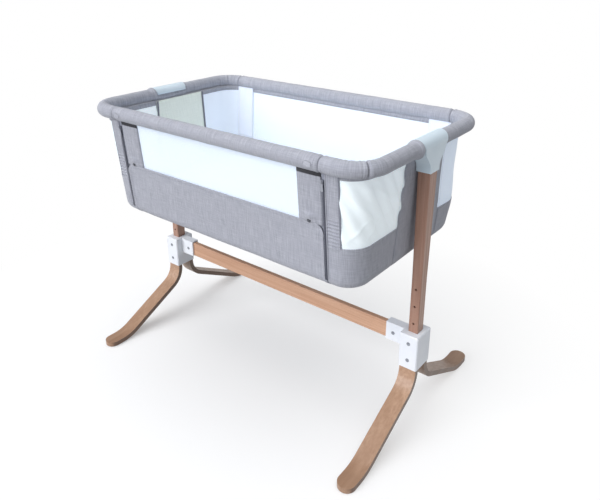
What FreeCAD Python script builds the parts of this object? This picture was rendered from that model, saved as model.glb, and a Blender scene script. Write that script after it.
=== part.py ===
import FreeCAD, Part
import math
import os

import Sketcher

# Bedside sleeper crib: a soft basket hung from a padded rim, carried by two posts
# that slide in the brackets of a bent-plywood stand.  The front side drops down.
# Frame: +X along the length, -Y is the drop side, +Z up, origin on the floor under
# the middle of the crib.  All lengths are in millimetres, angles in degrees.

SIZES = {
    # rim: the centre line of the padded rail
    "rim_half_length": 453.7,
    "rim_half_width": 265.7,
    "rim_corner_radius": 70.0,
    "rim_height": 771.3,
    "sleeve_radius": 18.6,
    "tube_radius": 12.5,
    "tube_wall": 1.5,
    "drop_half_length": 347.2,
    "seam_gap": 0.8,
    "corner_seam_angle": 38.0,
    "back_seam_offset": 387.0,
    # posts and their heads
    "post_offset": 456.0,
    "post_width": 27.0,
    "post_depth": 31.0,
    "post_top_width": 32.0,
    "post_top_depth": 38.0,
    "post_foot_height": 176.0,
    "post_taper_height": 423.0,
    "post_head_drop": 64.3,
    "post_corner": 3.0,
    "head_wall": 2.6,
    "head_saddle_wall": 3.2,
    "head_half_length": 60.0,
    "head_collar_height": 18.0,
    "head_collar_round": 20.0,
    "head_flare_width": 50.0,
    "head_flare_height": 50.0,
    "head_flare_round": 15.0,
    "post_tenon": 35.0,
    "head_screw_rise": 7.0,
    "head_screw_radius": 1.6,
    "head_screw_length": 14.0,
    "screw_pan_radius": 3.2,
    "screw_pan_height": 1.6,
    # bolts and the height holes
    "hole_height": 198.6,
    "hole_pitch": 49.5,
    "hole_radius": 3.2,
    "bolt_radius": 3.0,
    "bolt_head_radius": 5.0,
    "bolt_head_height": 3.2,
    "bolt_socket_width": 4.0,
    "bolt_socket_depth": 1.9,
    "bolt_head_sink": 2.4,
    # bracket
    "bracket_width": 52.0,
    "bracket_half_depth": 35.4,
    "bracket_bottom": 173.8,
    "bracket_top": 272.3,
    "bracket_top_wall": 4.0,
    "bracket_bevel": 2.5,
    "arm_inner_end": 376.8,
    "arm_half_depth": 12.6,
    "arm_bolt_offset": 398.0,
    # legs
    "leg_width": 47.0,
    "leg_thickness": 14.0,
    "leg_stub_inner": 17.4,
    "leg_slope": 27.2,
    "leg_bend_radius": 60.0,
    "leg_foot_radius": 120.0,
    "leg_knee_height": 130.5,
    "foot_reach": 325.4,
    "pad_thickness": 2.0,
    "pad_radius": 17.5,
    # crossbar
    "crossbar_bottom": 220.5,
    "crossbar_height": 47.0,
    "crossbar_thickness": 15.6,
    "crossbar_round": 2.5,
    "crossbar_end_gap": 1.8,
    # basket walls, outer face
    "wall_top_half_length": 437.0,
    "wall_top_half_width": 261.4,
    "wall_bottom_half_length": 423.0,
    "wall_bottom_half_width": 239.5,
    "wall_corner_radius": 62.0,
    "wall_top_drop": 10.3,
    "wall_bottom_height": 468.0,
    "wall_edge_radius": 28.0,
    "cloth_thickness": 3.0,
    "mesh_thickness": 1.0,
    "cloth_gap": 0.3,
    # divisions of the walls
    "zip_offset": 345.8,
    "zip_width": 6.6,
    "front_panel_drop": 22.0,
    "front_panel_corner": 22.0,
    "window_bottom": 580.0,
    "window_top_drop": 29.3,
    "corner_window_start": 387.0,
    "end_panel_low_half": 100.0,
    "end_panel_high_half": 73.0,
    "back_window_half_length": 330.0,
    # frame in the basket
    "base_tube_radius": 7.0,
    "base_tube_inset": 13.6,
    "base_tube_rise": 22.0,
    "board_thickness": 4.0,
    "mattress_thickness": 30.0,
    "board_half_length": 415.0,
    "board_half_width": 231.0,
    "mattress_half_length": 408.0,
    "mattress_half_width": 228.0,
    "mattress_corner_radius": 55.0,
    "mattress_crown": 8.0,
    "mattress_draw": 5.0,
    "mattress_waist_radius": 6000.0,
    "mattress_shoulder_rise": 0.7,
    "mattress_shoulder_share": 0.75,
    "mattress_top_share": 0.4,
    # drop side
    "hinge_height": 640.0,
    "hinge_offset": 306.6,
    "hinge_pin_radius": 2.25,
    "hinge_eye_radius": 5.0,
    "hinge_side_gap": 0.3,
    "pin_head_radius": 3.5,
    "pin_head_height": 1.0,
    "arm_width": 16.0,
    "arm_thickness": 4.0,
    "strip_inner": 273.3,
    "strip_outer": 341.0,
    "strip_thickness": 7.0,
    "drop_mesh_rise": 4.0,
    "upright_thickness": 3.0,
    "upright_relief": 1.3,
    "rivet_drop": 11.5,
    "rivet_radius": 4.0,
    "rivet_head_height": 2.0,
    "rivet_shank_radius": 2.0,
    "rivet_tail_radius": 3.0,
    # latches
    "tongue_width": 8.0,
    "tongue_height": 5.0,
    "tongue_length": 34.0,
    "tongue_reach": 6.0,
    "tongue_stroke": 7.0,
    "tongue_corner": 2.0,
    "tongue_end_space": 1.0,
    "tongue_side_space": 0.4,
    "tongue_fall": 7.0,
    "plug_flange": 2.5,
    "plug_length": 44.0,
    "button_offset": 323.0,
    "button_length": 20.0,
    "button_height": 12.0,
    "button_travel": 3.0,
    "button_back_gap": 0.6,
    "button_side_gap": 0.25,
    "button_proud": 0.8,
    # zips
    "zip_tape_thickness": 1.6,
    "zip_top_drop": 36.3,
    "zip_bottom_height": 498.0,
    "zip_tail": 13.0,
    "slider_length": 11.0,
    "slider_width": 8.0,
    "slider_tail_width": 4.8,
    "slider_thickness": 3.4,
    "slider_corner": 2.0,
    "slider_tail_corner": 1.0,
    "pull_length": 24.0,
    "pull_width": 7.0,
    "pull_top_width": 4.9,
    "pull_corner": 2.5,
    "pull_bar": 1.3,
    "pull_window": 4.8,
    "pull_side_gap": 0.3,
    "bail_length": 7.5,
    "bail_reach": 3.2,
    "bail_wire": 1.2,
    "bail_width": 1.8,
    "bail_top": 0.6,
    "bail_sink": 0.5,
    # clearances
    "fit_gap": 0.15,
    "touch_gap": 0.1,
    "running_gap": 0.05,
}

# heights that follow others, kept as formulas in the spreadsheet
FOLLOWERS = {
    "post_head_height": "rim_height - post_head_drop",
    "wall_top_height": "rim_height - wall_top_drop",
    "window_top": "rim_height - window_top_drop",
    "zip_top_height": "rim_height - zip_top_drop",
    "front_panel_top": "hinge_height - front_panel_drop",
    "rivet_height": "hinge_height - rivet_drop",
    "base_tube_height": "wall_bottom_height + base_tube_rise",
}

SAME_PLACE = 1e-9
ROUND_STEPS = 4          # flat bands in the basket's rounded bottom edge
HOLE_COUNT = 5           # height holes in each post
PAST = 2.0               # how far a cutting solid reaches past what it cuts

doc = FreeCAD.newDocument("BedsideSleeper")
sheet = doc.addObject("Spreadsheet::Sheet", "Sizes")


class Size:
    """A number that keeps the spreadsheet expression it comes from."""

    def __init__(self, value, text):
        self.value = float(value)
        self.text = text

    @staticmethod
    def of(other):
        if isinstance(other, Size):
            return other
        return Size(other, "(%.6f)" % other)

    def __add__(self, other):
        other = Size.of(other)
        return Size(self.value + other.value, "(%s + %s)" % (self.text, other.text))

    def __sub__(self, other):
        other = Size.of(other)
        return Size(self.value - other.value, "(%s - %s)" % (self.text, other.text))

    def __mul__(self, other):
        other = Size.of(other)
        return Size(self.value * other.value, "(%s * %s)" % (self.text, other.text))

    def __truediv__(self, other):
        other = Size.of(other)
        return Size(self.value / other.value, "(%s / %s)" % (self.text, other.text))

    def __radd__(self, other):
        return Size.of(other) + self

    def __rsub__(self, other):
        return Size.of(other) - self

    def __rmul__(self, other):
        return Size.of(other) * self

    def __neg__(self):
        return Size(-self.value, "(-1 * %s)" % self.text)


def tangent(angle):
    return Size(math.tan(math.radians(angle.value)), "tan(%s)" % angle.text)


def sine(angle):
    return Size(math.sin(math.radians(angle.value)), "sin(%s)" % angle.text)


def cosine(angle):
    return Size(math.cos(math.radians(angle.value)), "cos(%s)" % angle.text)


class Names:
    """The sizes by name, such as s.post_width."""


s = Names()
for row, (name, value) in enumerate(SIZES.items(), start=1):
    sheet.set("A%d" % row, name)
    sheet.set("B%d" % row, str(value))
    sheet.setAlias("B%d" % row, name)
    setattr(s, name, Size(value, "Sizes." + name))
for row, (name, formula) in enumerate(FOLLOWERS.items(), start=len(SIZES) + 1):
    sheet.set("A%d" % row, name)
    sheet.set("B%d" % row, "=" + formula)
    sheet.setAlias("B%d" % row, name)
doc.recompute()
for name in FOLLOWERS:
    setattr(s, name, Size(sheet.get(name), "Sizes." + name))


# ---------------------------------------------------------------- helpers

PIECES = []


def keep(obj, label):
    """Name a finished sub-part; its label is the name of its file."""
    obj.Label = label
    PIECES.append(obj)
    return obj


def bind(obj, prop, size):
    obj.setExpression(prop, Size.of(size).text)


def place(obj, x=0, y=0, z=0):
    for axis, size in (("x", x), ("y", y), ("z", z)):
        if isinstance(size, Size) or size:
            bind(obj, "Placement.Base." + axis, size)
    obj.Placement.Base = FreeCAD.Vector(Size.of(x).value, Size.of(y).value, Size.of(z).value)


def box(name, low, high):
    """A box between two corners given as sizes."""
    obj = doc.addObject("Part::Box", name)
    for prop, a, b in zip(("Length", "Width", "Height"), low, high):
        bind(obj, prop, Size.of(b) - Size.of(a))
        setattr(obj, prop, (Size.of(b) - Size.of(a)).value)
    place(obj, *low)
    return obj


def cylinder(name, radius, start, length, axis):
    """A cylinder from start along +X, +Y or +Z."""
    obj = doc.addObject("Part::Cylinder", name)
    bind(obj, "Radius", radius)
    bind(obj, "Height", length)
    turns = {
        "X": FreeCAD.Rotation(FreeCAD.Vector(0, 1, 0), 90),
        "Y": FreeCAD.Rotation(FreeCAD.Vector(1, 0, 0), -90),
        "Z": FreeCAD.Rotation(),
    }
    obj.Placement = FreeCAD.Placement(FreeCAD.Vector(0, 0, 0), turns[axis])
    for name_, size in zip("xyz", start):
        bind(obj, "Placement.Base." + name_, size)
    return obj


def boolean(kind, name, base, tool):
    obj = doc.addObject("Part::" + kind, name)
    obj.Base = base
    obj.Tool = tool
    return obj


def fuse(name, shapes):
    obj = doc.addObject("Part::MultiFuse", name)
    obj.Shapes = shapes
    return obj


def common(name, shapes):
    obj = doc.addObject("Part::MultiCommon", name)
    obj.Shapes = shapes
    return obj


def cut(name, base, tool):
    return boolean("Cut", name, base, tool)


def role_plane(body, role):
    for feature in body.Origin.OriginFeatures:
        if feature.Role == role:
            return feature
    raise ValueError("no plane " + role)


def add_body(name):
    return doc.addObject("PartDesign::Body", name)


def add_sketch(body, name, role="XY_Plane", offset=None):
    """A sketch on one of the body's own planes, moved along its normal by offset."""
    sketch = body.newObject("Sketcher::SketchObject", name)
    sketch.AttachmentSupport = [(role_plane(body, role), "")]
    sketch.MapMode = "FlatFace"
    if offset is not None:
        # the YZ plane's normal is +X, the XY plane's is +Z and the XZ plane's is -Y
        bind(sketch, "AttachmentOffset.Base.z", offset)
        sketch.AttachmentOffset.Base = FreeCAD.Vector(0, 0, offset.value)
    return sketch


def pin_point(sketch, geo, pos, x, y):
    """Tie a sketch point to the origin by its two sizes."""
    for kind, axis, size in (("DistanceX", -2, Size.of(x)), ("DistanceY", -1, Size.of(y))):
        if abs(size.value) < SAME_PLACE:
            sketch.addConstraint(Sketcher.Constraint("PointOnObject", geo, pos, axis))
        elif size.value > 0:
            number = sketch.addConstraint(
                Sketcher.Constraint(kind, -1, 1, geo, pos, size.value))
            bind(sketch, "Constraints[%d]" % number, size)
        else:
            number = sketch.addConstraint(
                Sketcher.Constraint(kind, geo, pos, -1, 1, -size.value))
            bind(sketch, "Constraints[%d]" % number, -size)


def outline(sketch, corners, closed=True):
    """Draw an outline, or an open path.  A corner is (x, y) or (x, y, radius)."""
    places = [(Size.of(c[0]), Size.of(c[1])) for c in corners]
    radii = [Size.of(c[2]) if len(c) > 2 else None for c in corners]
    points = [FreeCAD.Vector(x.value, y.value, 0) for x, y in places]
    count = len(points)
    starts, ends, arcs = [], [], []
    for i in range(count):
        here = points[i]
        if radii[i] is None:
            starts.append(here)
            ends.append(here)
            arcs.append(None)
            continue
        back = (points[i - 1] - here).normalize()
        ahead = (points[(i + 1) % count] - here).normalize()
        half = back.getAngle(ahead) / 2
        reach = radii[i].value / math.tan(half)
        middle = (back + ahead).normalize()
        centre = here + middle * (radii[i].value / math.sin(half))
        ends.append(here + back * reach)
        starts.append(here + ahead * reach)
        top = centre - middle * radii[i].value
        arcs.append(Part.Arc(ends[i], top, starts[i]))
    line_count = count if closed else count - 1
    lines = []
    for i in range(line_count):
        lines.append(sketch.addGeometry(
            Part.LineSegment(starts[i], ends[(i + 1) % count]), False))
    if not closed:
        pin_point(sketch, lines[0], 1, *places[0])
        pin_point(sketch, lines[-1], 2, *places[-1])
    for i in range(0 if closed else 1, line_count):
        before = lines[i - 1]
        after = lines[i]
        if arcs[i] is None:
            sketch.addConstraint(Sketcher.Constraint("Coincident", before, 2, after, 1))
            pin_point(sketch, after, 1, *places[i])
            continue
        arc = sketch.addGeometry(arcs[i], False)
        corner = sketch.addGeometry(Part.Point(points[i]), True)
        pin_point(sketch, corner, 1, *places[i])
        sketch.addConstraint(Sketcher.Constraint("PointOnObject", corner, 1, before))
        sketch.addConstraint(Sketcher.Constraint("PointOnObject", corner, 1, after))
        first, last = arc_ends(sketch, arc, ends[i])
        sketch.addConstraint(Sketcher.Constraint("Tangent", before, 2, arc, first))
        sketch.addConstraint(Sketcher.Constraint("Tangent", after, 1, arc, last))
        number = sketch.addConstraint(
            Sketcher.Constraint("Radius", arc, radii[i].value))
        bind(sketch, "Constraints[%d]" % number, radii[i])
    return sketch


def arc_ends(sketch, arc, begin):
    """Which end of the arc (1 or 2) lies at begin, and the other one."""
    if sketch.getPoint(arc, 1).distanceToPoint(begin) < 1e-4:
        return 1, 2
    return 2, 1


def circle(sketch, x, y, radius):
    x, y, radius = Size.of(x), Size.of(y), Size.of(radius)
    geo = sketch.addGeometry(Part.Circle(
        FreeCAD.Vector(x.value, y.value, 0), FreeCAD.Vector(0, 0, 1), radius.value), False)
    pin_point(sketch, geo, 3, x, y)
    number = sketch.addConstraint(Sketcher.Constraint("Radius", geo, radius.value))
    bind(sketch, "Constraints[%d]" % number, radius)
    return sketch


def pad(body, name, sketch, length, middle=False, backwards=False):
    feature = body.newObject("PartDesign::Pad", name)
    feature.Profile = sketch
    bind(feature, "Length", length)
    feature.Length = Size.of(length).value
    feature.Midplane = middle
    feature.Reversed = backwards
    body.Tip = feature
    return feature


def pocket(body, name, sketch, length, middle=False, backwards=False):
    """Cut a profile away, and make sure that something went."""
    doc.recompute()
    before = body.Shape.Volume
    feature = body.newObject("PartDesign::Pocket", name)
    feature.Profile = sketch
    bind(feature, "Length", length)
    feature.Length = Size.of(length).value
    feature.Midplane = middle
    feature.Reversed = backwards
    body.Tip = feature
    doc.recompute()
    if body.Shape.Volume > before - 1e-3:
        raise RuntimeError(name + " cuts nothing")
    return feature


def dress(body, name, kind, edges, size):
    """Fillet or chamfer the edges of the body's tip that the test picks."""
    doc.recompute()
    picked = ["Edge%d" % (i + 1) for i, edge in enumerate(body.Tip.Shape.Edges) if edges(edge)]
    if not picked:
        raise RuntimeError(name + " finds no edge")
    base = body.Tip
    feature = body.newObject("PartDesign::" + kind, name)
    feature.Base = (base, picked)
    prop = "Radius" if kind == "Fillet" else "Size"
    bind(feature, prop, size)
    setattr(feature, prop, Size.of(size).value)
    body.Tip = feature
    doc.recompute()
    return feature


def runs_along(edge, axis):
    """True for a straight edge parallel to an axis."""
    if not isinstance(edge.Curve, (Part.Line, Part.LineSegment)):
        return False
    step = edge.Vertexes[-1].Point - edge.Vertexes[0].Point
    parts = [abs(step.x), abs(step.y), abs(step.z)]
    own = parts.pop("XYZ".index(axis))
    return own > 0.5 and max(parts) < 1e-4


def rounded_rectangle(half_length, half_width, radius):
    return [
        (half_length, -half_width, radius),
        (half_length, half_width, radius),
        (-half_length, half_width, radius),
        (-half_length, -half_width, radius),
    ]


def rectangle(x_low, x_high, y_low, y_high):
    return [(x_low, y_low), (x_high, y_low), (x_high, y_high), (x_low, y_high)]


def loft(body, name, sketches, ruled=True):
    feature = body.newObject("PartDesign::AdditiveLoft", name)
    feature.Profile = sketches[0]
    feature.Sections = sketches[1:]
    feature.Ruled = ruled
    body.Tip = feature
    return feature


def pipe(body, name, profile, spine):
    """Sweep a profile sketch along a path sketch."""
    feature = body.newObject("PartDesign::AdditivePipe", name)
    feature.Profile = profile
    feature.Spine = (spine, [])
    body.Tip = feature
    return feature


def region(name, role, corners, start, length):
    """A solid that marks off a stretch of a larger form."""
    body = add_body(name)
    sketch = outline(add_sketch(body, name + "Outline", role, Size.of(start)), corners)
    pad(body, name + "Solid", sketch, length)
    return body


def mirrored(obj, name, normal=(1, 0, 0)):
    """The same piece on the other side of the middle plane with that normal."""
    copy = doc.addObject("Part::Mirroring", name)
    copy.Source = obj
    copy.Normal = FreeCAD.Vector(*normal)
    copy.Base = FreeCAD.Vector(0, 0, 0)
    return copy


def both_sides(obj, name):
    """Keep a right-hand piece and its mirror image."""
    keep(mirrored(obj, name.title().replace("_", "") + "Left"), name + "_left")
    keep(obj, name + "_right")


# ---------------------------------------------------------------- derived places

wall_height = s.wall_top_height - s.wall_bottom_height
wall_lean = (s.wall_top_half_width - s.wall_bottom_half_width) / wall_height


def wall_face(height):
    """Distance of the front wall's outer face from the middle at a height."""
    return s.wall_bottom_half_width + wall_lean * (Size.of(height) - s.wall_bottom_height)


def wall_end(height):
    """Distance of the end wall's outer face from the middle at a height."""
    spread = (s.wall_top_half_length - s.wall_bottom_half_length) / wall_height
    return s.wall_bottom_half_length + spread * (Size.of(height) - s.wall_bottom_height)


hinge_depth = wall_face(s.hinge_height)
wall_angle = Size(math.degrees(math.atan(wall_lean.value)), "atan(%s)" % wall_lean.text)
board_bottom = s.base_tube_height + s.base_tube_radius + s.touch_gap
second_hole = s.hole_height + s.hole_pitch
arm_bolt_height = s.crossbar_bottom + s.crossbar_height / 2
head_screw_height = s.post_head_height + s.head_screw_rise
leg_outer = s.leg_stub_inner + s.leg_thickness


def stand_on_wall(obj, x, depth, z):
    """Place a small piece, drawn upright at the origin, at depth before the middle plane,
    leaning as the front wall does."""
    obj.Placement = FreeCAD.Placement(
        FreeCAD.Vector(x.value, -depth.value, z.value),
        FreeCAD.Rotation(FreeCAD.Vector(1, 0, 0), wall_angle.value))
    for axis, size in (("x", x), ("y", -depth), ("z", z)):
        bind(obj, "Placement.Base." + axis, size)
    bind(obj, "Placement.Rotation.Angle", wall_angle)


# ---------------------------------------------------------------- stand

def make_leg():
    """Bent plywood: a stub in the bracket, a bend, a diagonal and a flat foot."""
    body = add_body("LegFrontRightBody")
    slope = s.leg_slope
    top = s.bracket_top - s.bracket_top_wall - s.fit_gap
    foot_low = s.pad_thickness
    foot_high = s.pad_thickness + s.leg_thickness
    fall = s.leg_knee_height - foot_high
    upper_foot = -leg_outer - fall / tangent(slope)
    drop = s.leg_thickness / cosine(slope)
    lower_foot = (foot_low - s.leg_knee_height + drop) / tangent(slope) - leg_outer
    lower_knee = s.leg_knee_height + s.leg_thickness * tangent(slope) - drop
    profile = outline(add_sketch(body, "LegProfile", "YZ_Plane"), [
        (-leg_outer, top),
        (-leg_outer, s.leg_knee_height, s.leg_bend_radius),
        (upper_foot, foot_high, s.leg_foot_radius),
        (-s.foot_reach, foot_high),
        (-s.foot_reach, foot_low),
        (lower_foot, foot_low, s.leg_foot_radius + s.leg_thickness),
        (-s.leg_stub_inner, lower_knee, s.leg_bend_radius + s.leg_thickness),
        (-s.leg_stub_inner, top),
    ])
    pad(body, "LegPly", profile, s.leg_width, middle=True)
    tip = -s.foot_reach.value
    dress(body, "LegTip", "Fillet",
          lambda e: runs_along(e, "Z") and abs(e.Vertexes[0].Point.y - tip) < 1e-3,
          s.leg_width / 2 - s.touch_gap * 2)
    holes = add_sketch(body, "LegHoles", "XZ_Plane")
    circle(holes, 0, s.hole_height, s.hole_radius)
    circle(holes, 0, second_hole, s.hole_radius)
    pocket(body, "LegBoltHoles", holes, leg_outer * 2, middle=True)
    place(body, x=s.post_offset)
    return body


def make_legs():
    front = make_leg()
    back = mirrored(front, "LegBackRight", (0, 1, 0))
    both_sides(front, "leg_front")
    both_sides(back, "leg_back")


def make_bracket():
    """Moulded housing: open below, a slot for the post and one for each leg stub."""
    body = add_body("BracketBody")
    half = s.bracket_width / 2
    height = s.bracket_top - s.bracket_bottom
    block = outline(add_sketch(body, "BlockOutline", "XY_Plane", s.bracket_bottom),
                    rectangle(-half, half, -s.bracket_half_depth, s.bracket_half_depth))
    pad(body, "Block", block, height)
    inner_end = s.arm_inner_end - s.post_offset
    arm = outline(add_sketch(body, "ArmOutline", "XZ_Plane"),
                  rectangle(inner_end, -half + PAST, s.crossbar_bottom, s.bracket_top))
    pad(body, "Arm", arm, s.arm_half_depth * 2, middle=True)
    top = s.bracket_top.value
    side = half.value
    deep = s.bracket_half_depth.value

    def on_bevel(edge):
        first, last = edge.Vertexes[0].Point, edge.Vertexes[-1].Point
        upright = runs_along(edge, "Z") and abs(abs(first.y) - deep) < 1e-3
        rim = abs(first.z - top) < 1e-3 and abs(last.z - top) < 1e-3
        front = runs_along(edge, "X") and abs(abs(first.y) - deep) < 1e-3
        outer = runs_along(edge, "Y") and abs(first.x - side) < 1e-3
        return upright or (rim and (front or outer))

    dress(body, "Bevels", "Chamfer", on_bevel, s.bracket_bevel)
    post_slot = outline(add_sketch(body, "PostSlot", "XY_Plane", s.bracket_bottom),
                        rectangle(-(s.post_width / 2 + s.fit_gap), s.post_width / 2 + s.fit_gap,
                                  -(s.post_depth / 2 + s.fit_gap), s.post_depth / 2 + s.fit_gap))
    pocket(body, "PostPassage", post_slot, height, backwards=True)
    stub = s.leg_width / 2 + s.fit_gap
    for face, name in ((-1, "Front"), (1, "Back")):
        near = (s.leg_stub_inner - s.fit_gap) * face
        far = (leg_outer + s.fit_gap) * face
        low, high = (far, near) if face < 0 else (near, far)
        slot = outline(add_sketch(body, name + "LegSlot", "XY_Plane", s.bracket_bottom),
                       rectangle(-stub, stub, low, high))
        pocket(body, name + "LegPocket", slot, height - s.bracket_top_wall, backwards=True)
    channel_half = s.crossbar_thickness / 2 + s.fit_gap
    channel_top = s.crossbar_bottom + s.crossbar_height + s.fit_gap
    channel_end = -half - s.crossbar_end_gap + s.fit_gap * 2
    channel = outline(add_sketch(body, "CrossbarChannel", "XZ_Plane"),
                      rectangle(inner_end - PAST, channel_end, s.crossbar_bottom - PAST, channel_top))
    pocket(body, "CrossbarPocket", channel, channel_half * 2, middle=True)
    holes = add_sketch(body, "BoltHoles", "XZ_Plane")
    circle(holes, 0, s.hole_height, s.hole_radius)
    circle(holes, 0, second_hole, s.hole_radius)
    circle(holes, s.arm_bolt_offset - s.post_offset, arm_bolt_height, s.hole_radius)
    pocket(body, "BoltBores", holes, s.bracket_half_depth * 2 + PAST, middle=True)
    for face, name in ((-1, "Front"), (1, "Back")):
        seat = s.bracket_half_depth - s.bolt_head_sink
        seats = add_sketch(body, name + "Seats", "XZ_Plane", seat * -face)
        circle(seats, 0, s.hole_height, s.bolt_head_radius + s.fit_gap)
        circle(seats, 0, second_hole, s.bolt_head_radius + s.fit_gap)
        pocket(body, name + "BoltSeats", seats, s.bolt_head_sink + PAST, backwards=face < 0)
        arm_seat = s.arm_half_depth - s.bolt_head_sink
        arm_sketch = add_sketch(body, name + "ArmSeat", "XZ_Plane", arm_seat * -face)
        circle(arm_sketch, s.arm_bolt_offset - s.post_offset, arm_bolt_height,
               s.bolt_head_radius + s.fit_gap)
        pocket(body, name + "ArmBoltSeat", arm_sketch, s.bolt_head_sink + PAST, backwards=face < 0)
    place(body, x=s.post_offset)
    both_sides(body, "bracket")


def make_crossbar():
    body = add_body("Crossbar")
    half = s.crossbar_thickness / 2
    top = s.crossbar_bottom + s.crossbar_height
    section = outline(add_sketch(body, "CrossbarSection", "YZ_Plane"), [
        (-half, s.crossbar_bottom, s.crossbar_round),
        (half, s.crossbar_bottom, s.crossbar_round),
        (half, top, s.crossbar_round),
        (-half, top, s.crossbar_round),
    ])
    end = s.post_offset - s.bracket_width / 2 - s.crossbar_end_gap
    pad(body, "CrossbarRail", section, end * 2, middle=True)
    holes = add_sketch(body, "CrossbarHoles", "XZ_Plane")
    for side in (-1, 1):
        circle(holes, s.arm_bolt_offset * side, arm_bolt_height, s.hole_radius)
    pocket(body, "CrossbarBores", holes, s.crossbar_thickness + PAST, middle=True)
    keep(body, "crossbar")


def bolt_shape(length, head_height):
    """Socket-head bolt along +Y, the seat of its head at the origin, head towards -Y."""
    shank = Part.makeCylinder(s.bolt_radius.value, length, FreeCAD.Vector(0, 0, 0),
                              FreeCAD.Vector(0, 1, 0))
    head = Part.makeCylinder(s.bolt_head_radius.value, head_height,
                             FreeCAD.Vector(0, -head_height, 0), FreeCAD.Vector(0, 1, 0))
    flat = s.bolt_socket_width.value / math.sqrt(3)
    corners = [FreeCAD.Vector(flat * math.cos(math.radians(60 * k)), -head_height,
                              flat * math.sin(math.radians(60 * k))) for k in range(7)]
    socket = Part.Face(Part.makePolygon(corners)).extrude(
        FreeCAD.Vector(0, s.bolt_socket_depth.value, 0))
    return shank.fuse(head).cut(socket).removeSplitter()


def make_bolts():
    """Two bolts in each face of each bracket, and one in each face of each arm."""
    seat = (s.bracket_half_depth - s.bolt_head_sink).value
    reach = seat - s.post_depth.value / 2 - s.fit_gap.value * 2
    arm_seat = (s.arm_half_depth - s.bolt_head_sink).value
    bolts = []
    for side in (-1, 1):
        for face in (-1, 1):
            for height in (s.hole_height, second_hole):
                bolts.append((side * s.post_offset.value, seat, height.value, face, reach))
            bolts.append((side * s.arm_bolt_offset.value, arm_seat, arm_bolt_height.value,
                          face, arm_seat - s.running_gap.value))
    shapes = []
    for x, depth, z, face, length in bolts:
        shape = bolt_shape(length, s.bolt_head_height.value)
        if face > 0:
            shape = shape.mirror(FreeCAD.Vector(0, 0, 0), FreeCAD.Vector(0, 1, 0))
        shape.translate(FreeCAD.Vector(x, depth * face, z))
        shapes.append(shape)
    group = doc.addObject("Part::Feature", "SocketBolts")
    group.Shape = Part.makeCompound(shapes)
    keep(group, "socket_bolts")


def make_foot_pads():
    centre = s.foot_reach - s.leg_width / 2
    pads = []
    for side in (-1, 1):
        for face in (-1, 1):
            pads.append(cylinder("FootPad", s.pad_radius, (s.post_offset * side, centre * face, 0),
                                 s.pad_thickness, "Z"))
    group = doc.addObject("Part::Compound", "FootPads")
    group.Links = pads
    keep(group, "foot_pads")


make_legs()
make_bracket()
make_crossbar()
make_bolts()
make_foot_pads()


# ---------------------------------------------------------------- posts and their heads

def make_post():
    """A straight shaft with five height holes, wider above, and a tenon in the head."""
    body = add_body("PostBody")
    shaft = rounded_rectangle(s.post_width / 2, s.post_depth / 2, s.post_corner)
    top = rounded_rectangle(s.post_top_width / 2, s.post_top_depth / 2, s.post_corner)
    foot = outline(add_sketch(body, "PostFoot", "XY_Plane", s.post_foot_height), shaft)
    pad(body, "PostShaft", foot, s.post_taper_height - s.post_foot_height)
    low = outline(add_sketch(body, "TaperLow", "XY_Plane", s.post_taper_height), shaft)
    high = outline(add_sketch(body, "TaperHigh", "XY_Plane", s.post_head_height), top)
    loft(body, "PostTaper", [low, high])
    tenon = outline(add_sketch(body, "TenonOutline", "XY_Plane", s.post_head_height), top)
    pad(body, "PostTenon", tenon, s.post_tenon)
    holes = add_sketch(body, "PostHoles", "XZ_Plane")
    for step in range(HOLE_COUNT):
        circle(holes, 0, s.hole_height + s.hole_pitch * step, s.hole_radius)
    pocket(body, "HeightHoles", holes, s.post_depth * 2, middle=True)
    screw_hole = add_sketch(body, "PostScrewHole", "XZ_Plane")
    circle(screw_hole, 0, head_screw_height, s.head_screw_radius + s.touch_gap)
    pocket(body, "ScrewBore", screw_hole, s.post_top_depth)
    place(body, x=s.post_offset)
    both_sides(body, "post")


def make_post_head():
    """A socket for the post that flares into a saddle over the padded rail."""
    saddle = s.sleeve_radius + s.fit_gap + s.head_saddle_wall
    outer_x = s.post_top_width / 2 + s.head_wall
    outer_y = s.post_top_depth / 2 + s.head_wall
    collar_top = s.post_head_height + s.head_collar_height
    top = s.rim_height + saddle + PAST
    half = [(outer_y, s.post_head_height),
            (outer_y, collar_top, s.head_collar_round),
            (s.head_flare_width, s.post_head_height + s.head_flare_height,
             s.head_flare_round),
            (s.head_half_length, top)]
    back = [(-corner[0],) + tuple(corner[1:]) for corner in reversed(half)]
    blank = region("HeadBlank", "YZ_Plane", half + back,
                   s.rim_half_length - saddle - PAST, saddle * 2 + PAST * 2)
    near, far = -s.head_half_length - PAST, s.head_half_length + PAST
    rail = cylinder("HeadBarrel", saddle, (s.rim_half_length, near, s.rim_height),
                    far - near, "Y")
    cheeks = box("HeadCheeks", (s.post_offset - outer_x, near, s.post_head_height),
                 (s.post_offset + outer_x, far, s.rim_height))
    form = common("HeadForm", [blank, fuse("HeadEnvelope", [rail, cheeks])])
    bore = cylinder("HeadBore", s.sleeve_radius + s.fit_gap,
                    (s.rim_half_length, near, s.rim_height), far - near, "Y")
    open_side = box("HeadOpenSide",
                    (s.rim_half_length - saddle - PAST, near, s.post_head_height - PAST),
                    (s.post_offset - outer_x, far, s.rim_height + PAST))
    socket = region("HeadSocket", "XY_Plane",
                    rounded_rectangle(s.post_top_width / 2 + s.fit_gap,
                                      s.post_top_depth / 2 + s.fit_gap,
                                      s.post_corner + s.fit_gap),
                    s.post_head_height - PAST, s.post_tenon + PAST + s.fit_gap)
    place(socket, x=s.post_offset)
    screw_hole = cylinder("HeadScrewHole", s.head_screw_radius + s.touch_gap,
                          (s.post_offset, 0, head_screw_height), outer_y + PAST, "Y")
    spaces = fuse("HeadSpaces", [bore, open_side, socket, screw_hole])
    both_sides(cut("PostHead", form, spaces), "post_head")


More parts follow.
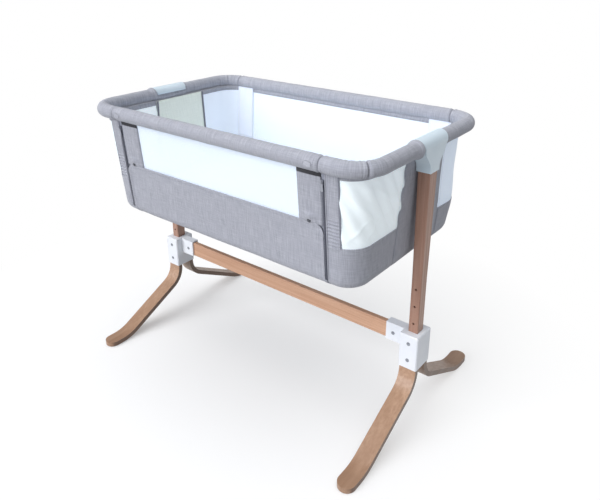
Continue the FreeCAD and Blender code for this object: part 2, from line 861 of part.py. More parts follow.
def make_head_screws():
    """One pan-head screw in the back face of each head."""
    face = s.post_top_depth / 2 + s.head_wall
    screws = []
    for side in (-1, 1):
        x = s.post_offset * side
        shank = cylinder("HeadScrewShank", s.head_screw_radius,
                         (x, face - s.head_screw_length, head_screw_height),
                         s.head_screw_length, "Y")
        pan = cylinder("HeadScrewPan", s.screw_pan_radius, (x, face, head_screw_height),
                       s.screw_pan_height, "Y")
        screws.append(fuse("HeadScrew", [shank, pan]))
    group = doc.addObject("Part::Compound", "HeadScrews")
    group.Links = screws
    keep(group, "head_screws")


# ---------------------------------------------------------------- rim

def rim_path(name, body):
    """Centre line of the rail, open where the drop side closes it."""
    start = s.drop_half_length + s.seam_gap
    corner = s.rim_corner_radius
    sketch = add_sketch(body, name, "XY_Plane", s.rim_height)
    return outline(sketch, [
        (start, -s.rim_half_width),
        (s.rim_half_length, -s.rim_half_width, corner),
        (s.rim_half_length, s.rim_half_width, corner),
        (-s.rim_half_length, s.rim_half_width, corner),
        (-s.rim_half_length, -s.rim_half_width, corner),
        (-start, -s.rim_half_width),
    ], closed=False)


def rim_sweep(name, radii):
    """Sweep circles of the given radii along the rim's centre line."""
    body = add_body(name)
    spine = rim_path(name + "Path", body)
    start = s.drop_half_length + s.seam_gap
    section = add_sketch(body, name + "Section", "YZ_Plane", start)
    for radius in radii:
        circle(section, -s.rim_half_width, s.rim_height, radius)
    pipe(body, name + "Sweep", section, spine)
    return body


def tongue_way(name, side):
    """The way by which a latch tongue leaves its socket, outwards and down."""
    start = s.drop_half_length + s.seam_gap
    low = start - s.tongue_end_space
    high = start + s.tongue_reach + s.tongue_end_space
    if side < 0:
        low, high = -high, -low
    return box(name,
               (low, -s.rim_half_width - s.sleeve_radius * 2,
                s.rim_height - s.tongue_height / 2 - s.tongue_fall),
               (high, -s.rim_half_width + s.tongue_width / 2 + s.tongue_side_space,
                s.rim_height + s.tongue_height / 2 + s.tongue_side_space))


def make_rim():
    start = s.drop_half_length + s.seam_gap
    ways = fuse("TongueWays", [tongue_way("TongueWayRight", 1), tongue_way("TongueWayLeft", -1)])
    tube = rim_sweep("RimTubeBlank", [s.tube_radius, s.tube_radius - s.tube_wall])
    ends = []
    for side in (-1, 1):
        low = start * side if side > 0 else -(start + s.plug_flange)
        ends.append(cylinder("RimTubeEnd", s.tube_radius + PAST,
                             (low, -s.rim_half_width, s.rim_height), s.plug_flange, "X"))
    keep(cut("RimTube", tube, fuse("RimTubeSpaces", ends + [ways])), "rim_tube")

    sleeve = cut("RimSleeve", rim_sweep("RimSleeveBlank",
                                        [s.sleeve_radius, s.tube_radius + s.touch_gap]), ways)
    low = s.rim_height - s.sleeve_radius - PAST
    deep = s.sleeve_radius * 2 + PAST * 2
    far = s.rim_half_length + s.rim_corner_radius * 2
    centre_x = s.rim_half_length - s.rim_corner_radius
    centre_y = -(s.rim_half_width - s.rim_corner_radius)
    reach = s.rim_corner_radius * 4
    across = cosine(s.corner_seam_angle)
    down = sine(s.corner_seam_angle)
    corner = region("CornerSleeveRegion", "XY_Plane", [
        (centre_x, centre_y),
        (start - PAST, centre_y),
        (start - PAST, centre_y - reach),
        (centre_x + reach * across, centre_y - reach),
        (centre_x + reach * across, centre_y - reach * down),
    ], low, deep)
    both_sides(common("CornerSleeve", [sleeve, corner]), "sleeve_corner")
    seam_x = centre_x + s.seam_gap * down
    seam_y = centre_y + s.seam_gap * across
    back_x = s.back_seam_offset + s.seam_gap
    end = region("EndSleeveRegion", "XY_Plane", [
        (seam_x, seam_y),
        (seam_x + reach * across, seam_y - reach * down),
        (far, seam_y - reach * down),
        (far, far),
        (back_x, far),
        (back_x, seam_y),
    ], low, deep)
    both_sides(common("EndSleeve", [sleeve, end]), "sleeve_end")
    back = region("BackSleeveRegion", "XY_Plane",
                  rectangle(-s.back_seam_offset, s.back_seam_offset, 0, far), low, deep)
    keep(common("BackSleeve", [sleeve, back]), "sleeve_back")


def make_latch_sockets():
    """End pieces of the rim tube, with a recess that lets the tongue out downwards."""
    body = add_body("LatchSocketBody")
    start = s.drop_half_length + s.seam_gap
    flange = add_sketch(body, "SocketFlange", "YZ_Plane", start)
    circle(flange, -s.rim_half_width, s.rim_height, s.tube_radius)
    pad(body, "Flange", flange, s.plug_flange)
    plug = add_sketch(body, "SocketPlug", "YZ_Plane", start + s.plug_flange)
    circle(plug, -s.rim_half_width, s.rim_height, s.tube_radius - s.tube_wall - s.running_gap)
    pad(body, "Plug", plug, s.rim_half_length - s.rim_corner_radius - start - s.plug_flange)
    both_sides(cut("LatchSocket", body, tongue_way("SocketWay", 1)), "latch_socket")


make_post()
make_post_head()
make_head_screws()
make_rim()
make_latch_sockets()


# ---------------------------------------------------------------- basket walls

def basket_form(name, inset, low, high, rounded):
    """The basket's form between two heights, drawn in by inset."""
    body = add_body(name)
    levels = [(Size.of(low), Size.of(inset)), (Size.of(high), Size.of(inset))]
    if rounded:
        radius = s.wall_edge_radius - inset
        levels.pop(0)
        for step in reversed(range(ROUND_STEPS + 1)):
            angle = math.radians(90.0 * step / ROUND_STEPS)
            rise = radius * (1 - math.cos(angle))
            draw = radius * (1 - math.sin(angle))
            levels.insert(0, (low + rise, inset + draw))
    sections = []
    for number, (height, draw) in enumerate(levels):
        sections.append(outline(
            add_sketch(body, "%sLevel%d" % (name, number), "XY_Plane", height),
            rounded_rectangle(wall_end(height) - draw, wall_face(height) - draw,
                              s.wall_corner_radius - draw)))
    loft(body, name + "Sides", sections)
    return body


def basket_skin(name, outer, inner, passage):
    """A sheet between two insets of the basket's form, trimmed under the rail."""
    low = s.zip_bottom_height - s.zip_tail - PAST
    outside = basket_form(name + "Outside", outer, low, s.wall_top_height, False)
    inside = basket_form(name + "Inside", inner, low - PAST, s.wall_top_height + PAST, False)
    return cut(name, cut(name + "Sheet", outside, inside), passage)


def end_outline(grow):
    """Outline of an end panel, seen along the crib, wider below than above."""
    low = s.end_panel_low_half + grow
    high = s.end_panel_high_half + grow
    taper = (low - high) / (s.window_top - s.window_bottom)
    base = s.wall_bottom_height - PAST
    peak = s.wall_top_height + PAST
    top = high - taper * (peak - s.window_top)
    return [(-low, base), (low, base), (low, s.window_bottom), (top, peak),
            (-top, peak), (-low, s.window_bottom)]


def make_basket():
    far = s.wall_top_half_length + s.sleeve_radius
    base = s.wall_bottom_height - PAST
    peak = s.wall_top_height + PAST
    outer = basket_form("BasketOutside", Size.of(0), s.wall_bottom_height,
                        s.wall_top_height, True)
    inner = basket_form("BasketInside", s.cloth_thickness,
                        s.wall_bottom_height + s.cloth_thickness, peak, True)
    passage = rim_sweep("RailPassage", [s.sleeve_radius + s.cloth_gap])
    flat_length = s.wall_bottom_half_length - s.wall_edge_radius
    flat_width = s.wall_bottom_half_width - s.wall_edge_radius
    flat_radius = s.wall_corner_radius - s.wall_edge_radius
    floor_space = region("FloorSpace", "XY_Plane",
                         rounded_rectangle(flat_length, flat_width, flat_radius),
                         base, s.cloth_thickness + PAST * 2)
    shell = cut("WallShell", cut("WallShellOpen", outer, inner),
                fuse("WallSpaces", [floor_space, passage]))
    keep(region("FloorFabric", "XY_Plane",
                rounded_rectangle(flat_length - s.cloth_gap, flat_width - s.cloth_gap,
                                  flat_radius - s.cloth_gap),
                s.wall_bottom_height, s.cloth_thickness), "floor_fabric")

    zip_edge = s.zip_width / 2 + s.cloth_gap
    panel_end = s.zip_offset - zip_edge
    front = region("FrontRegion", "XZ_Plane", [
        (-panel_end, base),
        (panel_end, base),
        (panel_end, s.front_panel_top, s.front_panel_corner),
        (-panel_end, s.front_panel_top, s.front_panel_corner),
    ], Size.of(0), far)
    keep(common("WallFront", [shell, front]), "wall_front")

    end_start = s.zip_offset + s.zip_width
    end_length = far - end_start
    end = region("EndRegion", "YZ_Plane", end_outline(Size.of(0)), end_start, end_length)
    both_sides(common("WallEnd", [shell, end]), "wall_end")
    end_space = region("EndSpace", "YZ_Plane", end_outline(s.cloth_gap), end_start,
                       end_length)
    tail = s.zip_bottom_height - s.zip_tail - s.cloth_gap
    corner = region("CornerRegion", "XZ_Plane", [
        (s.zip_offset + zip_edge, tail),
        (panel_end + s.cloth_gap, tail),
        (panel_end + s.cloth_gap, base),
        (far, base),
        (far, peak),
        (s.zip_offset + zip_edge, peak),
    ], Size.of(0), far)
    window = box("CornerWindow", (s.corner_window_start, -far, s.window_bottom),
                 (far, 0, s.window_top))
    corner_panel = cut("WallCorner", common("WallCornerWhole", [shell, corner]),
                       fuse("WallCornerSpaces", [end_space, window]))
    both_sides(corner_panel, "wall_corner")
    back_half = box("BackHalf", (-far, 0, base), (far, far, peak))
    back_window = box("BackWindow",
                      (-s.back_window_half_length, 0, s.window_bottom),
                      (s.back_window_half_length, far, s.window_top))
    back_corner = box("BackCornerWindow", (s.corner_window_start, 0, s.window_bottom),
                      (far, far, s.window_top))
    spaces = [end_space, mirrored(end_space, "EndSpaceLeft"), back_window, back_corner,
              mirrored(back_corner, "BackCornerWindowLeft")]
    keep(cut("WallBack", common("WallBackWhole", [shell, back_half]),
             fuse("WallBackSpaces", spaces)), "wall_back")

    near = (s.cloth_thickness - s.mesh_thickness) / 2
    net = basket_skin("MeshSkin", near, near + s.mesh_thickness, passage)
    gap = s.cloth_gap
    pane = box("CornerPane", (s.corner_window_start + gap, -far, s.window_bottom + gap),
               (far, 0, s.window_top - gap))
    end_space_wide = region("EndSpaceWide", "YZ_Plane", end_outline(gap * 2), end_start,
                            end_length)
    front_mesh = cut("MeshCorner", common("MeshCornerWhole", [net, pane]), end_space_wide)
    both_sides(front_mesh, "mesh_corner")
    back_pane = box("BackCornerPane", (s.corner_window_start + gap, 0, s.window_bottom + gap),
                    (far, far, s.window_top - gap))
    back_mesh = cut("MeshBackCorner", common("MeshBackCornerWhole", [net, back_pane]),
                    end_space_wide)
    both_sides(back_mesh, "mesh_back_corner")
    wide_pane = box("BackPane",
                    (-s.back_window_half_length + gap, 0, s.window_bottom + gap),
                    (s.back_window_half_length - gap, far, s.window_top - gap))
    keep(common("MeshBack", [net, wide_pane]), "mesh_back")

    inset = (s.cloth_thickness - s.zip_tape_thickness) / 2
    tape_skin = basket_skin("ZipSkin", inset, inset + s.zip_tape_thickness, passage)
    tape_zone = box("ZipZone",
                    (s.zip_offset - s.zip_width / 2, -far, s.zip_bottom_height - s.zip_tail),
                    (s.zip_offset + s.zip_width / 2, 0,
                     s.rim_height - s.sleeve_radius - s.seam_gap))
    both_sides(common("ZipTape", [tape_skin, tape_zone]), "zip_tape")


# ---------------------------------------------------------------- frame in the basket

def make_base():
    body = add_body("BaseTube")
    length = wall_end(s.base_tube_height) - s.base_tube_inset
    width = wall_face(s.base_tube_height) - s.base_tube_inset
    spine = outline(add_sketch(body, "BaseTubePath", "XY_Plane", s.base_tube_height),
                    rounded_rectangle(length, width,
                                      s.wall_corner_radius - s.base_tube_inset))
    section = add_sketch(body, "BaseTubeSection", "YZ_Plane")
    circle(section, -width, s.base_tube_height, s.base_tube_radius)
    pipe(body, "BaseTubeSweep", section, spine)
    keep(body, "base_tube")
    board = rounded_rectangle(s.board_half_length, s.board_half_width,
                              s.mattress_corner_radius)
    keep(region("BaseBoard", "XY_Plane", board, board_bottom, s.board_thickness),
         "base_board")


def leaning_bar(name, low, high, depth, thickness, width):
    """A flat bar that follows the front wall, depth inside its outer face."""
    near_low, near_high = wall_face(low) - depth, wall_face(high) - depth
    return region(name, "YZ_Plane", [
        (-near_low, low), (-(near_low - thickness), low),
        (-(near_high - thickness), high), (-near_high, high),
    ], -width / 2, width)


def knuckle(name, start, length, radius):
    return cylinder(name, radius, (start, -hinge_depth, s.hinge_height), length, "X")


def make_uprights():
    """Flat steel uprights with two hinge knuckles each, riveted to the fabric."""
    depth = s.cloth_thickness + s.cloth_gap
    low, high = s.base_tube_height, s.hinge_height
    edge = s.wall_bottom_height + s.wall_edge_radius
    near_low, near_edge, near_high = (wall_face(z) - depth for z in (low, edge, high))
    bar = region("UprightBar", "YZ_Plane", [
        (-(near_low - s.upright_relief), low),
        (-(near_low - s.upright_thickness), low),
        (-(near_high - s.upright_thickness), high),
        (-near_high, high),
        (-near_edge, edge),
    ], -s.arm_width / 2, s.arm_width)
    slot_half = s.arm_width / 4 + s.hinge_side_gap
    whole_half = s.arm_width / 2
    around = s.hinge_eye_radius + PAST * 2
    eye = knuckle("UprightEye", -whole_half, s.arm_width, s.hinge_eye_radius)
    slot = box("UprightSlot",
               (-slot_half, -hinge_depth - around,
                s.hinge_height - s.hinge_eye_radius - s.hinge_side_gap * 5),
               (slot_half, -hinge_depth + around, s.hinge_height + around))
    pin_hole = knuckle("UprightPinHole", -whole_half - PAST, s.arm_width + PAST * 2,
                       s.hinge_pin_radius + s.running_gap)
    rivet_y = wall_face(s.rivet_height) - depth
    rivet_hole = cylinder("UprightRivetHole", s.rivet_shank_radius + s.running_gap,
                          (0, -PAST * 2, 0), s.upright_thickness + PAST * 4, "Y")
    lean_hole = moved(rivet_hole, "UprightRivetWay", 0)
    stand_on_wall(lean_hole, Size.of(0), rivet_y, s.rivet_height)
    upright = cut("Upright", fuse("UprightForm", [bar, eye]),
                  fuse("UprightSpaces", [slot, pin_hole, lean_hole]))
    both_sides(moved(upright, "UprightRight"), "upright")

    pins = []
    for side in (-1, 1):
        x = s.hinge_offset * side
        shank = cylinder("HingePinShank", s.hinge_pin_radius,
                         (x - whole_half - s.pin_head_height, -hinge_depth, s.hinge_height),
                         s.arm_width + s.pin_head_height * 2, "X")
        heads = [cylinder("HingePinHead", s.pin_head_radius,
                          (x + offset, -hinge_depth, s.hinge_height), s.pin_head_height, "X")
                 for offset in (-whole_half - s.pin_head_height - s.touch_gap,
                                whole_half + s.touch_gap)]
        pins.append(fuse("HingePin", [shank] + heads))
    clear = s.touch_gap
    rivet_form = fuse("RivetForm", [
        cylinder("RivetHead", s.rivet_radius, (0, -s.rivet_head_height - clear, 0),
                 s.rivet_head_height, "Y"),
        cylinder("RivetShank", s.rivet_shank_radius, (0, -clear * 2, 0),
                 s.upright_thickness + clear * 4, "Y"),
        cylinder("RivetTail", s.rivet_tail_radius, (0, s.upright_thickness + clear, 0),
                 s.pin_head_height, "Y"),
    ])
    rivet = moved(rivet_form, "RivetRight", 0)
    stand_on_wall(rivet, s.hinge_offset, rivet_y, s.rivet_height)
    rivets = [mirrored(rivet, "RivetLeft"), rivet]
    for label, solids in (("hinge_pins", pins), ("upright_rivets", rivets)):
        group = doc.addObject("Part::Compound", label.title().replace("_", ""))
        group.Links = solids
        keep(group, label)


def moved(obj, name, x=s.hinge_offset):
    """The same piece shifted along the crib by its own placement."""
    copy = doc.addObject("Part::Compound", name)
    copy.Links = [obj]
    place(copy, x=x)
    return copy


# ---------------------------------------------------------------- drop side

def rail_cylinder(name, radius, half_length):
    return cylinder(name, radius, (-half_length, -s.rim_half_width, s.rim_height),
                    half_length * 2, "X")


def button_prism(name, grow, deep, high):
    """An oval prism across the rail, between two depths from the rail's centre line."""
    half_length = s.button_length / 2 + grow
    half_height = s.button_height / 2 + grow
    x = s.button_offset
    z = s.rim_height
    radius = half_height - s.touch_gap
    return region(name, "XZ_Plane", [
        (x - half_length, z - half_height, radius), (x + half_length, z - half_height, radius),
        (x + half_length, z + half_height, radius), (x - half_length, z + half_height, radius),
    ], s.rim_half_width + deep, Size.of(high) - deep)


def make_drop_side():
    end = s.drop_half_length
    ways = [button_prism("ButtonWayRight", s.button_side_gap, s.tongue_width / 2,
                         s.sleeve_radius + PAST)]
    ways.append(mirrored(ways[0], "ButtonWayLeft"))
    ways = fuse("ButtonWays", ways)
    arm_depth = (s.strip_thickness - s.arm_thickness) / 2
    arm_low = s.hinge_height + s.hinge_eye_radius + s.pin_head_height
    bar = leaning_bar("DropArmBar", arm_low, s.rim_height, arm_depth, s.arm_thickness,
                      s.arm_width)
    tube_space = rail_cylinder("DropTubeSpace", s.tube_radius, end)
    link_half = s.arm_width / 4
    link_low = s.hinge_height
    link = leaning_bar("DropArmLink", link_low, arm_low + PAST, arm_depth, s.arm_thickness,
                       link_half * 2)
    eye = knuckle("DropArmEye", -link_half, link_half * 2, s.hinge_eye_radius)
    hole = knuckle("DropArmHole", -link_half - PAST, link_half * 2 + PAST * 2,
                   s.hinge_pin_radius + s.running_gap)
    arm = cut("DropArm", fuse("DropArmForm", [bar, link, eye]),
              fuse("DropArmSpaces", [hole, tube_space]))
    arm_right = moved(arm, "DropArmRight")
    both_sides(arm_right, "drop_arm")

    tube_end = end - s.plug_flange
    tube = cut("DropTubeRing", rail_cylinder("DropTubeOuter", s.tube_radius, tube_end),
               rail_cylinder("DropTubeInner", s.tube_radius - s.tube_wall, tube_end + PAST))
    keep(cut("DropTube", tube, ways), "drop_tube")

    spare = s.touch_gap * 2
    pocket_bar = leaning_bar("ArmPocket", arm_low - PAST, s.rim_height, arm_depth - spare,
                             s.arm_thickness + spare * 2, s.arm_width + spare * 2)
    pocket_right = moved(pocket_bar, "ArmPocketRight")
    pocket_left = mirrored(pocket_right, "ArmPocketLeft")
    sleeve = cut("DropSleeveRing", rail_cylinder("DropSleeveOuter", s.sleeve_radius, end),
                 rail_cylinder("DropSleeveInner", s.tube_radius + s.touch_gap, end + PAST))
    keep(cut("DropSleeve", sleeve, fuse("DropSleeveSpaces", [ways, pocket_right,
                                                             pocket_left])), "drop_sleeve")

    strip_width = s.strip_outer - s.strip_inner
    strip = moved(leaning_bar("DropStripBar", arm_low, s.rim_height, Size.of(0),
                              s.strip_thickness, strip_width),
                  "DropStripWhole", (s.strip_outer + s.strip_inner) / 2)
    under_rail = rail_cylinder("UnderRail", s.sleeve_radius + s.touch_gap, end)
    both_sides(cut("DropStrip", strip, fuse("DropStripSpaces", [under_rail, pocket_right])),
               "drop_strip")

    mesh_half = s.strip_inner - s.cloth_gap
    near = (s.cloth_thickness - s.mesh_thickness) / 2
    mesh = leaning_bar("DropMeshSheet", s.front_panel_top + s.drop_mesh_rise, s.rim_height, near,
                       s.mesh_thickness, mesh_half * 2)
    keep(cut("DropMesh", mesh, under_rail), "drop_mesh")


def make_latches():
    """End plugs that guide the tongues, the tongues, and the buttons that draw them."""
    end = s.drop_half_length
    body = add_body("DropPlugBody")
    flange = add_sketch(body, "DropPlugFlange", "YZ_Plane", end - s.plug_flange)
    circle(flange, -s.rim_half_width, s.rim_height, s.tube_radius)
    pad(body, "DropFlange", flange, s.plug_flange)
    plug = add_sketch(body, "DropPlugCore", "YZ_Plane", end - s.plug_flange - s.plug_length)
    circle(plug, -s.rim_half_width, s.rim_height, s.tube_radius - s.tube_wall - s.running_gap)
    pad(body, "DropCore", plug, s.plug_length)
    tip = end + s.seam_gap + s.tongue_reach
    guide = box("TongueGuide",
                (tip - s.tongue_length - s.tongue_stroke - s.tongue_end_space,
                 -s.rim_half_width - s.tongue_width / 2 - s.touch_gap,
                 s.rim_height - s.tongue_height / 2 - s.touch_gap),
                (end + PAST, -s.rim_half_width + s.tongue_width / 2 + s.touch_gap,
                 s.rim_height + s.tongue_height / 2 + s.touch_gap))
    button_way = button_prism("PlugButtonWay", s.button_side_gap, s.tongue_width / 2,
                              s.sleeve_radius + PAST)
    both_sides(cut("DropPlug", body, fuse("DropPlugSpaces", [guide, button_way])),
               "drop_plug")

    tongue = add_body("LatchTongueBody")
    shape = outline(add_sketch(tongue, "TongueOutline", "XY_Plane",
                               s.rim_height - s.tongue_height / 2), [
        (tip - s.tongue_length, -s.rim_half_width - s.tongue_width / 2),
        (tip, -s.rim_half_width - s.tongue_width / 2, s.tongue_corner),
        (tip, -s.rim_half_width + s.tongue_width / 2, s.tongue_corner),
        (tip - s.tongue_length, -s.rim_half_width + s.tongue_width / 2),
    ])
    pad(tongue, "TongueBar", shape, s.tongue_height)
    both_sides(tongue, "latch_tongue")

    inner = s.tongue_width / 2 + s.button_travel + s.button_back_gap
    button = button_prism("ReleaseButton", Size.of(0), inner, s.sleeve_radius + s.button_proud)
    both_sides(button, "release_button")


# ---------------------------------------------------------------- zips and mattress

def make_zip_sliders():
    """A slider on each zip tape, with a pull whose round bar turns in the slider's bail."""
    x = s.zip_offset
    z = s.zip_top_height
    face = wall_face(z) + s.touch_gap
    half = s.slider_width / 2
    tail = s.slider_tail_width / 2
    body = add_body("ZipSliderBody")
    plan = outline(add_sketch(body, "SliderOutline", "XZ_Plane"), [
        (-half, 0, s.slider_corner), (half, 0, s.slider_corner),
        (tail, -s.slider_length, s.slider_tail_corner),
        (-tail, -s.slider_length, s.slider_tail_corner)])
    pad(body, "SliderPlate", plan, s.slider_thickness)
    root = -s.slider_thickness + s.bail_sink
    bail_out = -s.slider_thickness - s.bail_reach
    bail = outline(add_sketch(body, "BailOutline", "YZ_Plane"), [
        (root, -s.bail_length), (bail_out, -s.bail_length, s.bail_wire),
        (bail_out, -s.bail_top, s.bail_wire), (root, -s.bail_top)])
    pad(body, "Bail", bail, s.bail_width, middle=True)
    eye_low = -s.bail_length + s.bail_wire
    eye_high = -s.bail_top - s.bail_wire
    eye = outline(add_sketch(body, "BailEye", "YZ_Plane"),
                  rectangle(bail_out + s.bail_wire, -s.slider_thickness - s.touch_gap,
                            eye_low, eye_high))
    pocket(body, "BailSpace", eye, s.bail_width + PAST, middle=True)
    stand_on_wall(body, x, face, z)
    both_sides(body, "zip_slider")

    pull = add_body("ZipPullBody")
    pull_half = s.pull_width / 2
    top_half = s.pull_top_width / 2
    bar_depth = s.slider_thickness + s.touch_gap + (s.bail_reach - s.bail_wire) / 2
    bar_top = eye_high - s.pull_side_gap
    axis = bar_top - s.pull_bar / 2
    plan = outline(add_sketch(pull, "PullOutline", "XZ_Plane", bar_depth - s.pull_bar / 2), [
        (-top_half, axis), (top_half, axis),
        (pull_half, bar_top - s.pull_length, s.pull_corner),
        (-pull_half, bar_top - s.pull_length, s.pull_corner)])
    pad(pull, "PullPlate", plan, s.pull_bar)
    window_half = s.bail_width / 2 + s.pull_side_gap
    window_low = bar_top - s.pull_bar - s.pull_window
    window = outline(add_sketch(pull, "PullWindow", "XZ_Plane"),
                     rectangle(-window_half, window_half, window_low, axis + PAST))
    pocket(pull, "PullEye", window, s.pull_length, middle=True)
    section = circle(add_sketch(pull, "PullBarSection", "YZ_Plane"), -bar_depth, axis,
                     s.pull_bar / 2)
    pad(pull, "PullBar", section, s.pull_top_width, middle=True)
    stand_on_wall(pull, x, face, z)
    both_sides(pull, "zip_pull")


def make_mattress():
    """A pad with a crown, bulging edges and long sides drawn in at the middle."""
    body = add_body("Mattress")
    low = board_bottom + s.board_thickness + s.cloth_gap
    side = s.mattress_thickness - s.mattress_crown
    steps = [(s.mattress_draw, Size.of(0), 1), (Size.of(0), side / 2, 1),
             (s.mattress_draw, side, 1),
             (s.mattress_draw, side + s.mattress_crown * s.mattress_shoulder_rise,
              s.mattress_shoulder_share),
             (s.mattress_draw, side + s.mattress_crown, s.mattress_top_share)]
    sections = []
    for number, (inset, rise, share) in enumerate(steps):
        length = (s.mattress_half_length - inset) * share
        width = (s.mattress_half_width - inset) * share
        corner = s.mattress_corner_radius * share
        waist = s.mattress_waist_radius * share
        draw = s.mattress_draw * share
        sections.append(outline(
            add_sketch(body, "MattressLevel%d" % number, "XY_Plane", low + rise), [
                (length, -width, corner), (length, width, corner),
                (0, width - draw, waist),
                (-length, width, corner), (-length, -width, corner),
                (0, -width + draw, waist)]))
    loft(body, "MattressForm", sections)
    keep(body, "mattress")


make_basket()
make_base()
make_uprights()
make_drop_side()
make_latches()
make_zip_sliders()
make_mattress()


# ---------------------------------------------------------------- check and write

def write_parts():
    doc.recompute()
    for obj in doc.Objects:
        if "Invalid" in obj.State or "Error" in obj.State:
            raise RuntimeError("%s failed: %s" % (obj.Name, obj.State))
    os.makedirs("parts", exist_ok=True)
    for obj in PIECES:
        shape = obj.Shape
        if shape.isNull() or not shape.isValid() or not shape.Solids:
            raise RuntimeError(obj.Label + " has no valid solid")
        shape.exportStep(os.path.join("parts", obj.Label + ".step"))
        print("%-22s solids %d volume %.0f" % (obj.Label, len(shape.Solids), shape.Volume))
    print(len(PIECES), "pieces")


write_parts()
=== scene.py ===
# %% [markdown]
# # A bedside sleeper crib
# The packed CAD model brings the wooden stand, the plastic fittings and the steel parts.
# This lesson dresses it: melange fabric, netting, padding, zips and wood grain.
# Everything is in metres.  X runs along the crib, -Y is the side that opens, Z is up.

# %% Load the packed model
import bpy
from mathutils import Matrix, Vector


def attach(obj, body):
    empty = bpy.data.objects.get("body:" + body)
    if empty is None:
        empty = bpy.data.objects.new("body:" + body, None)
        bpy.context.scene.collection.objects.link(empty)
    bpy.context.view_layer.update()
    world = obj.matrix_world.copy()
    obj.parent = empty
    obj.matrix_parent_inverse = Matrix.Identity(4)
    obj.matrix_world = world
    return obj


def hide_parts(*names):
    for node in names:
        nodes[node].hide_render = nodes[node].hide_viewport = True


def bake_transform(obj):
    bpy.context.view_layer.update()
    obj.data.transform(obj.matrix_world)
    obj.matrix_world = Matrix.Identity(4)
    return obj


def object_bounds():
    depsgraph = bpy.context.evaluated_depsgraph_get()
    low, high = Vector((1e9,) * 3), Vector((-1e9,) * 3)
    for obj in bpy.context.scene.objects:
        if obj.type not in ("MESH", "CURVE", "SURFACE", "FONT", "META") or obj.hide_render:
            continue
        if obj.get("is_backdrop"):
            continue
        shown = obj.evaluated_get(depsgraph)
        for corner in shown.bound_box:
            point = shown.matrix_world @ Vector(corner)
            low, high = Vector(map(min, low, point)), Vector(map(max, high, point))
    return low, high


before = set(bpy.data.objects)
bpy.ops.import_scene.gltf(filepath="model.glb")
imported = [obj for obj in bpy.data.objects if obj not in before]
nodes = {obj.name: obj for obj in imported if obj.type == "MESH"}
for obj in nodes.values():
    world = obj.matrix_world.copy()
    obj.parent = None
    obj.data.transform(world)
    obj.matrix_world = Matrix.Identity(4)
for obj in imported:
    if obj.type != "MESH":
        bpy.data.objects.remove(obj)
cad_low, cad_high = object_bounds()
print("CAD box", [round(v, 4) for v in cad_low], [round(v, 4) for v in cad_high])

# %% Blender's own modules
import math

import bmesh
import bpy
from mathutils import Matrix, Vector, noise

print("nodes in the model:", len(nodes))

# %% [markdown]
# ## The camera
# A camera is a position, a direction and a focal length.  These come from matching bolts,
# holes and rails of known size with the picture of the crib, so the view is the same.
# The shift moves the picture on the sensor without turning the camera.

# %% Camera
CAMERA_PLACE = Vector((1.0373, -1.2007, 1.1701))
CAMERA_YAW = math.radians(38.1607)
CAMERA_PITCH = math.radians(-20.854)
CAMERA_ROLL = math.radians(-0.105)
FOCAL_LENGTH = 35.889
SHIFT = (-0.0076, -0.1102)

ahead = Vector((-math.sin(CAMERA_YAW) * math.cos(CAMERA_PITCH),
                math.cos(CAMERA_YAW) * math.cos(CAMERA_PITCH),
                math.sin(CAMERA_PITCH)))
level = Vector((math.cos(CAMERA_YAW), math.sin(CAMERA_YAW), 0))
upright = level.cross(ahead)
right = level * math.cos(CAMERA_ROLL) + upright * math.sin(CAMERA_ROLL)
up = upright * math.cos(CAMERA_ROLL) - level * math.sin(CAMERA_ROLL)
camera_data = bpy.data.cameras.new("camera")
camera_data.lens = FOCAL_LENGTH
camera_data.sensor_width = 36
camera_data.shift_x, camera_data.shift_y = SHIFT
camera = bpy.data.objects.new("camera", camera_data)
camera.matrix_world = Matrix.Translation(CAMERA_PLACE) @ Matrix(
    (right, up, -ahead)).transposed().to_4x4()
scene = bpy.context.scene
scene.collection.objects.link(camera)
scene.camera = camera
scene.view_settings.view_transform = "Standard"
print("camera at", tuple(CAMERA_PLACE))

# %% [markdown]
# ## Building materials from nodes
# Every finish below is a small graph of nodes that ends in the Principled shader.
# `Finish` makes such a graph short to write: `add` makes a node, sets or links its
# inputs and returns it, and `mix` blends two colours by a factor.

